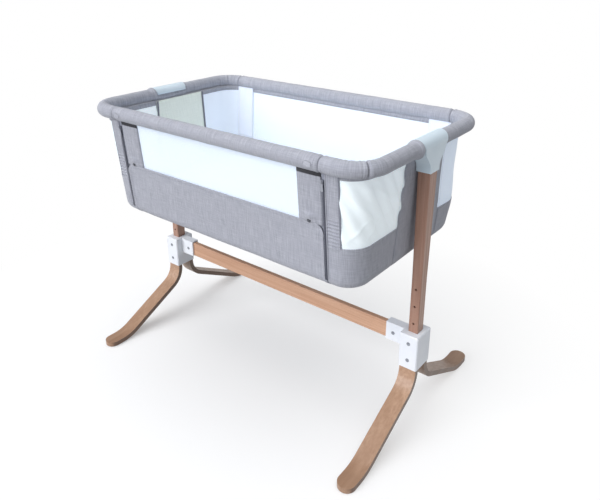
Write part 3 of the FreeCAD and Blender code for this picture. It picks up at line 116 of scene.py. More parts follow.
# %% A helper for materials
class Finish:
    """A material whose nodes are made one by one."""

    def __init__(self, name, **sockets):
        self.material = bpy.data.materials.new(name)
        self.material.use_nodes = True
        self.tree = self.material.node_tree
        self.shader = self.tree.nodes["Principled BSDF"]
        for socket, value in sockets.items():
            self.shader.inputs[socket.replace("_", " ")].default_value = value

    def add(self, kind, inputs=None, **settings):
        node = self.tree.nodes.new("ShaderNode" + kind)
        for key, value in settings.items():
            setattr(node, key, value)
        for key, value in (inputs or {}).items():
            if isinstance(value, bpy.types.NodeSocket):
                self.tree.links.new(value, node.inputs[key])
            else:
                node.inputs[key].default_value = value
        return node

    def place(self, kind="Object", scale=(1, 1, 1), turn=(0, 0, 0)):
        """Where a pattern is read: Object for solid parts, UV for cloth, in metres."""
        source = self.add("TexCoord").outputs[kind]
        return self.add("Mapping", {"Vector": source, "Scale": scale,
                                    "Rotation": turn}).outputs["Vector"]

    def noise(self, vector, scale=1.0, detail=2.0, rough=0.5):
        return self.add("TexNoise", {"Vector": vector, "Scale": scale, "Detail": detail,
                                     "Roughness": rough}).outputs["Fac"]

    def ramp(self, factor, low, high, to_low=0.0, to_high=1.0):
        return self.add("MapRange", {0: factor, 1: low, 2: high, 3: to_low,
                                     4: to_high}).outputs[0]

    def sums(self, operation, first, second=0.0):
        return self.add("Math", {0: first, 1: second}, operation=operation).outputs[0]

    def mix(self, factor, first, second):
        node = self.add("Mix", data_type="RGBA")
        for socket, value in zip((node.inputs[0], node.inputs[6], node.inputs[7]),
                                 (factor, first, second)):
            if isinstance(value, bpy.types.NodeSocket):
                self.tree.links.new(value, socket)
            else:
                socket.default_value = value
        return node.outputs[2]

    def colour(self, value):
        self.tree.links.new(value, self.shader.inputs["Base Color"])

    def rough(self, value):
        self.tree.links.new(value, self.shader.inputs["Roughness"])

    def bump(self, height, distance, strength=1.0):
        node = self.add("Bump", {"Height": height, "Distance": distance,
                                 "Strength": strength})
        self.tree.links.new(node.outputs["Normal"], self.shader.inputs["Normal"])


print("Finish can", [name for name in vars(Finish) if not name.startswith("_")])


# %% Colours
def tone(red, green, blue):
    """A screen colour, 0 to 255, as the linear colour that a shader wants."""
    parts = []
    for value in (red, green, blue):
        value /= 255
        parts.append(value / 12.92 if value < 0.04045 else ((value + 0.055) / 1.055) ** 2.4)
    return (*parts, 1.0)


print("middle grey for a shader:", round(tone(128, 128, 128)[0], 3))

# %% [markdown]
# ## Floor, backdrop and light
# A studio picture on white: the floor and the world look white to the camera, but they
# light the crib only as much as a pale room would.  The Light Path node tells the two
# apart.  The floor keeps the soft shadow that falls under the crib.

# %% The floor's finish
FLOOR_SEEN = 0.96
FLOOR_BOUNCE = 0.50
SHADOW_SHARE = 0.72
WHITE_FROM, WHITE_TO = 0.45, 1.15
WHITE_CENTRE = (-0.10, -0.10, 0.0)

floor_finish = Finish("floor_finish")
path = floor_finish.add("LightPath").outputs
seen = floor_finish.sums("MAXIMUM", path["Is Camera Ray"], floor_finish.sums(
    "MAXIMUM", path["Is Glossy Ray"], path["Is Transmission Ray"]))
matt = floor_finish.add("BsdfDiffuse", {"Color": floor_finish.mix(
    seen, (FLOOR_BOUNCE,) * 3 + (1,), (FLOOR_SEEN,) * 3 + (1,))})
white = floor_finish.add("Emission", {"Color": (1, 1, 1, 1), "Strength": 1.0})
spot = floor_finish.add("VectorMath", {0: floor_finish.place(), 1: WHITE_CENTRE},
                        operation="SUBTRACT")
distance = floor_finish.add("VectorMath", {0: spot.outputs[0]}, operation="LENGTH")
fade = floor_finish.ramp(distance.outputs["Value"], WHITE_FROM, WHITE_TO,
                         1 - SHADOW_SHARE, 1.0)
blend = floor_finish.add("MixShader", {0: floor_finish.sums("MULTIPLY", seen, fade),
                                       1: matt.outputs[0], 2: white.outputs[0]})
floor_finish.tree.links.new(
    blend.outputs[0], floor_finish.tree.nodes["Material Output"].inputs["Surface"])

print("floor turns white from", WHITE_FROM, "to", WHITE_TO, "m")

# %% The floor
FLOOR_SIZE = 30.0
mesh = bmesh.new()
bmesh.ops.create_grid(mesh, x_segments=1, y_segments=1, size=FLOOR_SIZE / 2)
floor_data = bpy.data.meshes.new("floor")
mesh.to_mesh(floor_data)
mesh.free()
floor_data.materials.append(floor_finish.material)
floor = bpy.data.objects.new("floor", floor_data)
scene.collection.objects.link(floor)
floor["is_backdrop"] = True
print("floor", FLOOR_SIZE, "m wide")

# %% [markdown]
# ## The room
# The world is the pale room that fills the shadows.  A picture on white also needs a
# white behind the crib, brighter than that room.  Two backgrounds are mixed by the
# kind of ray, so the camera and the net's holes see white paper, and the crib sees the room.

# %% World
ROOM_LIGHT = 0.34
world = bpy.data.worlds.new("studio")
world.use_nodes = True
scene.world = world
sky = world.node_tree
room = sky.nodes["Background"]
room.inputs["Color"].default_value = (0.93, 0.96, 1.0, 1)
room.inputs["Strength"].default_value = ROOM_LIGHT
paper = sky.nodes.new("ShaderNodeBackground")
rays = sky.nodes.new("ShaderNodeLightPath")
choose = sky.nodes.new("ShaderNodeMixShader")
either = sky.nodes.new("ShaderNodeMath")
either.operation = "MAXIMUM"
paper.inputs["Color"].default_value = (1, 1, 1, 1)
sky.links.new(rays.outputs["Is Camera Ray"], either.inputs[0])
sky.links.new(rays.outputs["Is Transmission Ray"], either.inputs[1])
sky.links.new(either.outputs[0], choose.inputs[0])
sky.links.new(room.outputs[0], choose.inputs[1])
sky.links.new(paper.outputs[0], choose.inputs[2])
sky.links.new(choose.outputs[0], sky.nodes["World Output"].inputs["Surface"])
print("room light", ROOM_LIGHT)

# %% [markdown]
# ## The lamps
# Two large softboxes: one overhead, one in front and a little to the left.  A sun lamp
# with a wide angle acts like a softbox that is far away: its light is even over the whole
# crib and its shadows have broad soft edges.

# %% Lamps
def softbox(name, towards, strength, spread, colour):
    """A wide, even light from one direction, as a large softbox gives."""
    data = bpy.data.lights.new(name, "SUN")
    data.energy = strength * math.pi
    data.color = colour
    data.angle = math.radians(spread)
    lamp = bpy.data.objects.new(name, data)
    lamp.rotation_mode = "QUATERNION"
    lamp.rotation_quaternion = Vector(towards).to_track_quat("Z", "Y")
    lamp.location = Vector(towards) * 3
    scene.collection.objects.link(lamp)


softbox("overhead", (0.05, -0.05, 1.0), 0.46, 70, (1, 1, 1))
softbox("front", (-0.30, -0.84, 0.46), 0.80, 45, (0.965, 0.972, 1.0))

# %% [markdown]
# ## The melange fabric
# The cover is a plain weave of grey yarns that are not dyed evenly, with thicker slubs
# here and there.  Long thin noise along each thread direction gives the uneven yarns,
# and two crossed waves give the weave as a bump.  All of it is read from the cloth's own
# UV map, which is in metres, so the weave has the same size on every panel.

# %% Fabric
THREAD = 0.0009
WAVE_UNIT = 2 * math.pi / 20      # the Wave node repeats every WAVE_UNIT / scale
YARN, YARN_RUN = 420, 26          # how fine the noise is across and along a yarn
SLUB, SLUB_RUN = 190, 14
PATCH = 22


def weave(finish, cloth, pitch):
    """Crossed threads as a height between 0 and 1."""
    warp = finish.add("TexWave", {"Vector": cloth, "Scale": WAVE_UNIT / pitch},
                      bands_direction="X")
    weft = finish.add("TexWave", {"Vector": cloth, "Scale": WAVE_UNIT / pitch},
                      bands_direction="Y")
    return finish.sums("MULTIPLY", warp.outputs["Fac"], weft.outputs["Fac"])


def melange(name, base, dark, light, contrast=1.0, read="UV"):
    finish = Finish(name, Roughness=0.92, Sheen_Weight=0.25)
    cloth = finish.place(read)
    upright_yarn = finish.noise(finish.place(read, (YARN, YARN_RUN, YARN)), detail=3)
    level_yarn = finish.noise(finish.place(read, (YARN_RUN, YARN, YARN_RUN)), detail=3)
    slubs = finish.noise(finish.place(read, (SLUB, SLUB_RUN, SLUB)), detail=1)
    patches = finish.noise(finish.place(read, (PATCH,) * 3), detail=2)
    yarn = finish.sums("ADD", finish.sums("MULTIPLY", upright_yarn, 0.6),
                       finish.sums("MULTIPLY", level_yarn, 0.4))
    shade = finish.mix(finish.ramp(yarn, 0.5 - 0.16 / contrast, 0.5 + 0.16 / contrast),
                       dark, light)
    shade = finish.mix(finish.ramp(slubs, 0.60, 0.72, 0.0, 0.45), shade, light)
    shade = finish.mix(finish.ramp(patches, 0.35, 0.65, 0.0, 0.30), shade, base)
    finish.colour(shade)
    threads = weave(finish, cloth, THREAD)
    height = finish.sums("ADD", threads, finish.sums("MULTIPLY", slubs, 0.7))
    finish.bump(height, 0.0005, 0.7)
    return finish.material


print("threads every", 1000 * THREAD, "mm")

# %% [markdown]
# ## The cloths of this crib
# One grey melange covers the outside.  Parts without a UV map read it in object
# coordinates.  The bindings are a darker grey, and the linings are thin and pale: daylight
# passes through them on the real crib, so they give off a little light of their own.

# %% Cloths
fabric = melange("grey_melange", tone(170, 172, 184), tone(150, 152, 164),
                 tone(190, 192, 201))
fabric_solid = melange("grey_melange_solid", tone(170, 172, 184), tone(150, 152, 164),
                       tone(190, 192, 201), read="Object")
fabric_dark = melange("grey_binding", tone(128, 131, 144), tone(112, 115, 128),
                      tone(146, 149, 160))
GLOW = 0.22     # light that comes through thin white cloth
lining = melange("white_lining", tone(226, 234, 246), tone(220, 228, 241),
                 tone(234, 240, 250), 0.8)
panel_lining = melange("pale_lining", tone(218, 226, 219), tone(210, 218, 211),
                       tone(232, 238, 231), 0.8)
# painted light: the linings glow a little, for the light that comes through them
for cloth, shade in ((lining, tone(228, 238, 255)), (panel_lining, tone(222, 234, 228))):
    shader = cloth.node_tree.nodes["Principled BSDF"]
    shader.inputs["Emission Color"].default_value = shade
    shader.inputs["Emission Strength"].default_value = GLOW
print("cloths:", [cloth.name for cloth in (fabric, fabric_dark, lining, panel_lining)])

# %% [markdown]
# ## The netting
# The windows are a fine white knitted net.  Two crossed sets of diagonal waves leave
# small holes: where the wave is low, the surface is transparent.

# %% Netting
NET_PITCH = 0.0024
NET_TURN = math.radians(35)


def netting(name, shade, least):
    # the net glows by GLOW too: painted light that keeps it bright in the shade
    finish = Finish(name, Roughness=0.75, Sheen_Weight=0.2, Emission_Color=shade,
                    Emission_Strength=GLOW)
    finish.shader.inputs["Base Color"].default_value = shade
    across = finish.place("UV", turn=(0, 0, NET_TURN))
    back = finish.place("UV", turn=(0, 0, -NET_TURN))
    one = finish.add("TexWave", {"Vector": across, "Scale": WAVE_UNIT / NET_PITCH})
    two = finish.add("TexWave", {"Vector": back, "Scale": WAVE_UNIT / NET_PITCH})
    yarn = finish.sums("MAXIMUM", one.outputs["Fac"], two.outputs["Fac"])
    finish.tree.links.new(finish.ramp(yarn, 0.35, 0.60, least, 1.0),
                          finish.shader.inputs["Alpha"])
    finish.bump(yarn, 0.0004, 0.6)
    return finish.material


net = netting("white_net", tone(238, 247, 250), 0.62)
net_pale = netting("pale_net", tone(222, 233, 246), 0.66)
print("net holes every", 1000 * NET_PITCH, "mm")

# %% [markdown]
# ## Wood
# Beech is pale pinkish brown with fine straight grain and short dark flecks.  Noise that
# is stretched along the grain gives the streaks, and a second, shorter noise the flecks.
# The grain direction differs from part to part, so it is an argument.

# %% Wood
PLY = 0.0028
FLECK_BROWN = tone(120, 82, 60)
PLY_BROWN, FOOT_BROWN = tone(132, 108, 90), tone(128, 94, 70)
FOOT_DARK_FROM, FOOT_DARK_TO = 0.13, 0.02       # heights between which a foot turns darker towards the floor


def stretched(across, run, along):
    """The scale of a noise that is fine across the grain and long along it."""
    scale = [across] * 3
    scale[along] = run
    return scale


def beech(name, along, light, dark, edge=None, turn=(0, 0, 0)):
    """along is the axis of the grain, edge the colour of the plies at a cut edge."""
    finish = Finish(name, Roughness=0.42, Coat_Weight=0.15, Coat_Roughness=0.3)
    grain = finish.noise(finish.place("Object", stretched(130.0, 4.0, along), turn),
                         detail=5, rough=0.6)
    bands = finish.noise(finish.place("Object", stretched(30.0, 1.6, along), turn),
                         detail=2)
    flecks = finish.noise(finish.place("Object", stretched(1500.0, 240.0, along), turn),
                          detail=1)
    shade = finish.mix(finish.ramp(grain, 0.35, 0.68), light, dark)
    shade = finish.mix(finish.ramp(bands, 0.38, 0.66, 0.0, 0.55), shade, dark)
    shade = finish.mix(finish.ramp(flecks, 0.62, 0.72, 0.0, 0.35), shade, FLECK_BROWN)
    if edge:
        normal = finish.add("NewGeometry").outputs["Normal"]
        side = finish.add("SeparateXYZ", {0: normal}).outputs[0]
        plies = finish.add("TexWave", {"Vector": finish.place("Object", (1, 1, 1), turn),
                                       "Scale": WAVE_UNIT / PLY, "Distortion": 1.2,
                                       "Detail Scale": 30.0}, bands_direction="Z")
        ply = finish.mix(finish.ramp(plies.outputs["Fac"], 0.3, 0.7), edge, PLY_BROWN)
        turned = finish.ramp(finish.sums("ABSOLUTE", side), 0.75, 0.9)
        shade = finish.mix(turned, shade, ply)
        height = finish.add("SeparateXYZ", {0: finish.place()}).outputs[2]
        # the foot is darker towards the floor
        foot_darker = finish.ramp(height, FOOT_DARK_FROM, FOOT_DARK_TO, 0.0, 0.40)
        shade = finish.mix(foot_darker, shade, FOOT_BROWN)
    finish.colour(shade)
    finish.rough(finish.ramp(grain, 0.3, 0.7, 0.38, 0.52))
    finish.bump(grain, 0.0002, 0.35)
    return finish.material


print("plies every", 1000 * PLY, "mm")

# %% [markdown]
# ## Each wooden part's wood
# The crossbar is the palest and the posts the brownest.  The legs are bent plywood, so
# their grain turns with the slope of the leg and their sides show the plies.  The same
# recipe with other colours and directions makes all four.

# %% The woods
LEG_SLOPE = math.radians(27.2)
PLY_EDGE = tone(100, 80, 68)
BEECH_LIGHT, BEECH_DARK = tone(214, 172, 143), tone(190, 143, 113)
crossbar_wood = beech("crossbar_wood", 0, BEECH_LIGHT, BEECH_DARK)
post_wood = beech("post_wood", 2, tone(180, 141, 122), tone(152, 113, 95))
front_leg_wood = beech("front_leg_wood", 1, tone(190, 156, 130), tone(166, 130, 104),
                       PLY_EDGE, (-LEG_SLOPE, 0, 0))
back_leg_wood = beech("back_leg_wood", 1, tone(176, 150, 130), tone(150, 124, 106),
                      PLY_EDGE, (LEG_SLOPE, 0, 0))
print("woods:", [wood.name for wood in (crossbar_wood, post_wood, front_leg_wood,
                                        back_leg_wood)])

# %% [markdown]
# ## Plastic, steel and felt
# Moulded plastic has a very fine grain and is a little uneven in gloss.  Steel is
# metallic, with faint turning marks.  Each gets two noises: one for the surface and one
# for the gloss, because nothing is equally worn all over.

# %% Hard finishes
def hard(name, base, other, rough, grain=900.0, depth=0.00008, **sockets):
    finish = Finish(name, **sockets)
    fine = finish.noise(finish.place("Object", (grain,) * 3), detail=3)
    wear = finish.noise(finish.place("Object", (14, 14, 14)), detail=3)
    finish.colour(finish.mix(finish.ramp(wear, 0.35, 0.7), base, other))
    finish.rough(finish.ramp(wear, 0.3, 0.7, rough - 0.06, rough + 0.08))
    finish.bump(fine, depth, 0.5)
    return finish.material


white_plastic = hard("white_plastic", tone(238, 241, 246), tone(230, 234, 241), 0.38)
head_plastic = hard("head_plastic", tone(220, 234, 243), tone(212, 227, 237), 0.34)
bright_steel = hard("bright_steel", tone(176, 180, 188), tone(150, 154, 162), 0.28,
                    Metallic=1.0)
painted_steel = hard("painted_steel", tone(120, 123, 130), tone(108, 111, 118), 0.45)
zip_metal = hard("zip_metal", tone(178, 181, 190), tone(150, 153, 162), 0.34,
                 Metallic=0.75)
hardboard = hard("hardboard", tone(150, 118, 88), tone(132, 101, 74), 0.7, 300, 0.0003)
# dark felt of the foot pads; the slots under the rail also use it as painted shade
felt = hard("felt", tone(74, 74, 78), tone(60, 60, 64), 0.95, 1600, 0.0004)
zip_cloth = hard("zip_cloth", tone(158, 161, 174), tone(146, 149, 162), 0.85, 1400, 0.0002)
coil = hard("zip_coil", tone(92, 94, 106), tone(80, 82, 94), 0.5, 1200)
knit = hard("mattress_knit", tone(240, 243, 248), tone(234, 238, 244), 0.9, 1800, 0.0004,
            Sheen_Weight=0.2)
rivet_metal = hard("rivet_metal", tone(104, 106, 112), tone(84, 86, 92), 0.3,
                   Metallic=0.6)
thread_finish = hard("sewing_thread", tone(196, 198, 210), tone(186, 188, 200), 0.8, 2000)

print("plain white:", white_plastic.name)

# %% [markdown]
# ## Dressing the parts of the model
# The rigid parts keep the shapes that the model gives them, because those fit each
# other.  Only their material is changed.  The table goes by a part's name without its
# side, so a left part and a right one always get the same finish.

# %% Finishes by part
FINISHES = {
    "crossbar": crossbar_wood, "post": post_wood, "leg_front": front_leg_wood,
    "leg_back": back_leg_wood, "bracket": white_plastic, "post_head": head_plastic,
    "release_button": fabric_solid, "socket_bolts": bright_steel,
    "head_screws": bright_steel, "upright": painted_steel, "base_tube": painted_steel,
    "drop_arm": painted_steel, "rim_tube": painted_steel, "drop_tube": painted_steel,
    "hinge_pins": bright_steel, "latch_socket": white_plastic,
    "drop_plug": white_plastic, "latch_tongue": white_plastic, "zip_slider": zip_metal,
    "zip_pull": zip_metal, "base_board": hardboard, "foot_pads": felt,
}
dressed = 0
for name, node in nodes.items():
    stem = name.replace("_left", "").replace("_right", "")
    if stem in FINISHES:
        node.data.materials.clear()
        node.data.materials.append(FINISHES[stem])
        dressed += 1
print("CAD nodes with a finish:", dressed, "of", len(nodes))

# %% [markdown]
# ## Laying cloth over a form
# A fabric panel is cut flat and sewn to a form, and it is made the same way here: a flat
# grid, whose columns and rows are measured on the cloth, is moved onto the form point by
# point.  The flat measures stay as its UV map, which is what the weave reads.

# %% Small helpers
def steps(low, high, size):
    """Evenly spaced numbers from low to high, about size apart."""
    count = max(1, round(abs(high - low) / size))
    return [low + (high - low) * k / count for k in range(count + 1)]


def bumpy(*place, size, seed=0.0):
    """A smooth random height from -1 to 1 that is the same at every run."""
    return noise.noise(Vector(place).to_3d() / size + Vector((seed, seed * 0.7, 0.3)))


def new_piece(bm, name, material):
    """Make an object from a bmesh and give it its material."""
    data = bpy.data.meshes.new(name)
    bm.to_mesh(data)
    bm.free()
    data.materials.append(material)
    piece = bpy.data.objects.new(name, data)
    scene.collection.objects.link(piece)
    return piece


print("fifths:", steps(0, 1, 0.2))


# %% A panel of cloth
def panel(name, columns, rows, put, material, cut=None, hole=None, closed=False):
    """Cloth from a flat grid: cut gives a grid point's place on the flat cloth, put the
    place in space of a point of the cloth, and hole the faces that are left out."""
    cut = cut or (lambda column, row: (column, row))
    bm = bmesh.new()
    uv = bm.loops.layers.uv.new("UVMap")
    bmesh.ops.create_grid(bm, x_segments=len(columns) - 1, y_segments=len(rows) - 1,
                          size=1.0)
    flat = {}
    for vert in bm.verts:
        column = columns[round((vert.co.x + 1) / 2 * (len(columns) - 1))]
        row = rows[round((vert.co.y + 1) / 2 * (len(rows) - 1))]
        flat[vert] = cut(column, row)
    out = []
    for face in bm.faces:
        face.smooth = True
        middle = [sum(flat[v][k] for v in face.verts) / len(face.verts) for k in (0, 1)]
        if hole and hole(*middle):
            out.append(face)
        for loop in face.loops:
            loop[uv].uv = flat[loop.vert]
    for vert, place in flat.items():
        vert.co = put(*place)
    if out:
        bmesh.ops.delete(bm, geom=out, context="FACES")
    if closed:
        bmesh.ops.remove_doubles(bm, verts=bm.verts, dist=1e-5)
    return new_piece(bm, name, material)


def thicken(piece, thickness, rounded=0.0, offset=-1.0):
    """Give cloth its thickness, inwards, and soft edges."""
    solid = piece.modifiers.new("thickness", "SOLIDIFY")
    solid.thickness = thickness
    solid.offset = offset
    if rounded:
        bevel = piece.modifiers.new("soft_edge", "BEVEL")
        bevel.width = rounded
        bevel.segments = 3
        bevel.limit_method = "ANGLE"
        bevel.angle_limit = math.radians(50)
    return piece


print("thickness comes from a modifier, so the flat cloth can still be measured")

# %% [markdown]
# ## Saying what is cloth
# Each strip of cloth is printed with the size that it was cut to.  For a strip of cloth
# the length is known and the area can be measured, so its width follows.  The thickness
# is a modifier's, so the mesh itself is still the bare cloth.

# %% Cloth and its area
def area_of(piece):
    return sum(face.area for face in piece.data.polygons)


def sewn(piece, length):
    """Say that a piece is a strip of cloth, so long, and as wide as its area asks."""
    width = area_of(piece) / length
    print(piece.name, "is cloth,", round(1000 * width), "by", round(1000 * length), "mm")
    return piece


# %% [markdown]
# ## The form of the basket
# The basket is a rounded rectangle that grows a little towards the top, with a rounded
# bottom edge.  `wall` turns two measures into a point: how far round the basket from the
# middle of the front, and how far up the wall from where the bottom edge begins.

# %% The basket's measures
BOTTOM, TOP = 0.468, 0.761
HALF_LENGTH = (0.423, 0.437)
HALF_WIDTH = (0.2395, 0.2614)
CORNER = 0.062
EDGE = 0.028
EDGE_ARC = EDGE * math.pi / 2
QUARTER = CORNER * math.pi / 2


def height_of(rise):
    """Height, and how far the bottom edge draws in, at a distance up the wall."""
    if rise >= EDGE_ARC:
        return BOTTOM + EDGE + rise - EDGE_ARC, 0.0
    angle = rise / EDGE
    return BOTTOM + EDGE * (1 - math.cos(angle)), EDGE * (1 - math.sin(angle))


def rise_of(height):
    return EDGE_ARC + height - BOTTOM - EDGE


def half_sizes(height):
    share = (height - BOTTOM) / (TOP - BOTTOM)
    return (HALF_LENGTH[0] + (HALF_LENGTH[1] - HALF_LENGTH[0]) * share,
            HALF_WIDTH[0] + (HALF_WIDTH[1] - HALF_WIDTH[0]) * share)


def station(height, y):
    """How far round the basket a point of the end wall is."""
    length, width = half_sizes(height)
    return length - CORNER + QUARTER + width - CORNER + y


print("half sizes at the windows' foot:", [round(v, 4) for v in half_sizes(0.58)])

# %% [markdown]
# ## A point on the wall
# The wall is made of straight runs and round corners, one after the other, so the place
# along it decides which of them holds the point.  Places past the middle of the back come
# round from the other side.  Low in the back corners the cloth swells outwards a little.

# %% The basket's wall
BELLY = 0.006
BELLY_HEIGHT, BELLY_SPREAD = 0.565, 0.060
BELLY_FROM, BELLY_RUN = 0.08, 0.10


def belly(y, height):
    """The cloth swells a little low in the back corners, where it isn't held."""
    share = min(max((y - BELLY_FROM) / BELLY_RUN, 0), 1)
    return BELLY * share * share * (3 - 2 * share) * math.exp(
        -((height - BELLY_HEIGHT) / BELLY_SPREAD) ** 2)


def wall(around, rise, out=0.0):
    """A point on the basket's wall, moved outwards by out."""
    height, draw = height_of(rise)
    length, width = half_sizes(height)
    flat, side = length - CORNER, width - CORNER
    half_way = 2 * (flat + side + QUARTER)
    if abs(around) > half_way:
        around -= math.copysign(2 * half_way, around)
    radius = CORNER - draw + out
    sign = -1 if around < 0 else 1
    left = abs(around)
    if left <= flat:
        x, y = left, -side - radius
    elif left <= flat + QUARTER:
        turn = (left - flat) / CORNER
        x, y = flat + radius * math.sin(turn), -side - radius * math.cos(turn)
    elif left <= flat + QUARTER + 2 * side:
        x, y = flat + radius, left - flat - QUARTER - side
    elif left <= flat + 2 * QUARTER + 2 * side:
        turn = (left - flat - QUARTER - 2 * side) / CORNER
        x, y = flat + radius * math.cos(turn), side + radius * math.sin(turn)
    else:
        x, y = half_way - left, side + radius
    swell = belly(y, height)
    x, y = x * (1 + swell / length), y * (1 + swell / width)
    return Vector((sign * x, y, height - (out * 0.6 if draw > 0.5 * EDGE else 0)))


print("middle of the front, where the bottom edge ends:", wall(0.0, EDGE_ARC))

# %% [markdown]
# ## Lower front panel, corner panels, end panels and back
# On the real crib these are cut from one roll and sewn edge to edge.  Each is laid as a
# grid between marks, which are places round the basket that may change with height, such
# as the slanting edges of the panel behind a post.  A column range can be left open
# between two heights: that is a window.

# %% Where the panels end
WINDOW_LOW, WINDOW_HIGH = 0.580, 0.742
WALL_HIGH = 0.757
ZIP_X = 0.3458
ZIP_LOW = 0.487
CORNER_WINDOW_X = 0.387
BACK_WINDOW_X = 0.330
END_FRONT, END_BACK = 0.0645, 0.1255
END_SLANT = 0.0137        # how far its front edge moves over a window's height
BACK_SILL = 0.5625
CLOTH = 0.0022
MEASURED_AT = 0.6         # the height at which a panel's width is measured
print("windows are", round(1000 * (WINDOW_HIGH - WINDOW_LOW)), "mm high")


# %% Marks round the basket
def total_at(height):
    """How far round the basket the middle of the back is."""
    length, width = half_sizes(height)
    return 2 * (length + width - 2 * CORNER + QUARTER)


def front_mark(x):
    """The mark for a place x along the front or its corner."""
    def mark(height):
        flat = half_sizes(height)[0] - CORNER
        if x <= flat:
            return x
        return flat + CORNER * math.asin((x - flat) / CORNER)
    return mark


def back_mark(x, beyond=0):
    """The same along the back; beyond is 1 for the other half of the back."""
    if beyond:
        return lambda height: 2 * total_at(height) - back_mark(x)(height)
    return lambda height: total_at(height) - front_mark(x)(height)


def end_edge(height, side):
    """Where the panel behind a post ends: side is -1 for its front edge, 1 for its back."""
    if side > 0:
        return END_BACK
    share = min(max((WINDOW_HIGH - height) / (WINDOW_HIGH - WINDOW_LOW), 0), 1.4)
    return -END_FRONT - END_SLANT * share


def end_mark(side):
    return lambda height: station(height, end_edge(height, side))


def other(mark):
    return lambda height: -mark(height)


def far_end(side):
    return lambda height: 2 * total_at(height) - station(height, end_edge(height, side))


print("half way round at the rim:", round(total_at(TOP), 4), "m")


# %% Rows, and cloth that isn't quite flat
def rises(low, high, size, *extra):
    """Rows from one height to another that include the extra heights."""
    marks = sorted({low, high, *extra})
    rows = []
    for a, b in zip(marks, marks[1:]):
        rows += steps(rise_of(a), rise_of(b), size)[:-1]
    return rows + [rise_of(high)]


def sag(around, rise, amount=0.0011, seed=0.0):
    """Cloth between seams is never quite flat."""
    return (bumpy(around, rise, 0, size=0.11, seed=seed) * amount
            + bumpy(around, rise * 0.3, 0, size=0.035, seed=seed + 4) * amount * 0.35)


print("sag at one place:", round(1000 * sag(0.1, 0.1), 2), "mm")


# %% A panel between marks
SEAM_DEEP, SEAM_WIDE = 0.0012, 0.0022


def walling(name, marks, rows, material, windows=(), relief=None, size=0.006,
            thickness=CLOTH, back_by=0.0, sill=WINDOW_LOW):
    """A panel of the basket between marks, with open windows and a sewn edge."""
    columns = []
    spans = [abs(b(MEASURED_AT) - a(MEASURED_AT)) for a, b in zip(marks, marks[1:])]
    for k, span in enumerate(spans):
        count = max(2, round(span / size))
        columns += [k + n / count for n in range(count)]
    columns.append(len(spans))

    def cut(column, rise):
        height = max(height_of(rise)[0], BOTTOM)
        k = min(int(column), len(spans) - 1)
        a, b = marks[k](height), marks[k + 1](height)
        return a + (b - a) * (column - k), rise

    first, last = marks[0], marks[-1]

    def put(around, rise):
        height = height_of(rise)[0]
        near = min(abs(around - first(height)), abs(last(height) - around))
        out = -back_by - SEAM_DEEP * math.exp(-(near / SEAM_WIDE) ** 2)
        out += sag(around, rise) * min(1, near / 0.02)
        if relief:
            out += relief(around, height)
        return wall(around, rise, out)

    def hole(around, rise):
        height = height_of(rise)[0]
        if not sill < height < WINDOW_HIGH:
            return False
        return any(marks[k](height) < around < marks[k + 1](height) for k in windows)

    piece = panel(name, columns, rows, put, material, cut, hole if windows else None)
    if thickness:
        thicken(piece, thickness)
    return piece


def placed(piece, body="cradle", *stands_for, slot=None):
    """Let a piece ride on a body and replace soft solids.  The slot is not used."""
    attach(piece, body)
    if stands_for:
        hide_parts(*stands_for)
    return piece


print("seams draw the cloth in by", 1000 * SEAM_DEEP, "mm")

# %% The flat pieces of the wall's panels
CUT_HIGH = 0.31
CORNER_CUT, END_CUT, BACK_CUT = 0.25, 0.2, 1.26


def cut_from(piece, width):
    """Print how much cloth a panel takes, at most its flat piece; the area leaves its windows
    out.
    """
    area = min(area_of(piece), width * CUT_HIGH)
    print(piece.name, round(area, 4), "m2 of cloth")


print("the wall's panels are cut", 1000 * CUT_HIGH, "mm high")

# %% [markdown]
# ## The lower front panel
# This panel stands alone between the two zips.  Its top corners are cut round, and a hem
# runs along the top and down both sides: cloth folded to the back and sewn down, which
# makes the edge thick and the line of stitches a shallow groove.  A flat cut with a hem
# modelled in its height keeps all of that in one piece.

# %% The cut of the front panel
PANEL_TOP = 0.625
PANEL_HALF = 0.3422
PANEL_LOW_HALF = 0.3456      # below the zips it meets the corner panels
PANEL_CORNER = 0.024
PANEL_OUT, PANEL_SAG = 0.0006, 0.0016
HEM = 0.009
HEM_DEEP, HEM_WIDE = 0.0009, 0.0016           # the groove that the stitches pull in
FOLD_THICK, FOLD_SOFT = 0.0011, 0.0007        # what the folded cloth adds, and its soft end
RIPPLE_HIGH, RIPPLE_RATE = 0.0007, 46         # low waves under the top edge


def front_cut(column, rise):
    """The cut of the front panel: round top corners, wider below the zips."""
    down = rise_of(PANEL_TOP) - rise
    limit = PANEL_HALF
    if down < PANEL_CORNER:
        limit -= PANEL_CORNER - math.sqrt(PANEL_CORNER ** 2 - (PANEL_CORNER - down) ** 2)
    if rise < rise_of(ZIP_LOW):
        limit = PANEL_LOW_HALF
    straight = PANEL_HALF - PANEL_CORNER - 0.02
    if abs(column) <= straight:
        return column, rise
    beyond = (abs(column) - straight) / (PANEL_HALF - straight)
    return math.copysign(straight + beyond * (limit - straight), column), rise


def hem_dip(away):
    """A line of stitches pulls the cloth in beside a folded edge."""
    return -HEM_DEEP * math.exp(-((away - HEM) / HEM_WIDE) ** 2)


def front_put(around, rise):
    down = rise_of(PANEL_TOP) - rise
    side = PANEL_HALF - abs(around)
    out = PANEL_OUT + sag(around, rise, PANEL_SAG, 2.0) * min(1, max(down, 0) / 0.03)
    out += hem_dip(down) + hem_dip(side)
    fold = min(down, side)
    out += FOLD_THICK / (1 + math.exp((fold - HEM + 0.0012) / FOLD_SOFT))
    out += RIPPLE_HIGH * math.sin(
        around * RIPPLE_RATE + 3 * bumpy(around, rise, 0, size=0.2)) * min(
        1, max(down, 0) / 0.02) * math.exp(-max(down, 0) / 0.05)
    return wall(around, rise, out)


print("hem of the front panel:", 1000 * HEM, "mm")

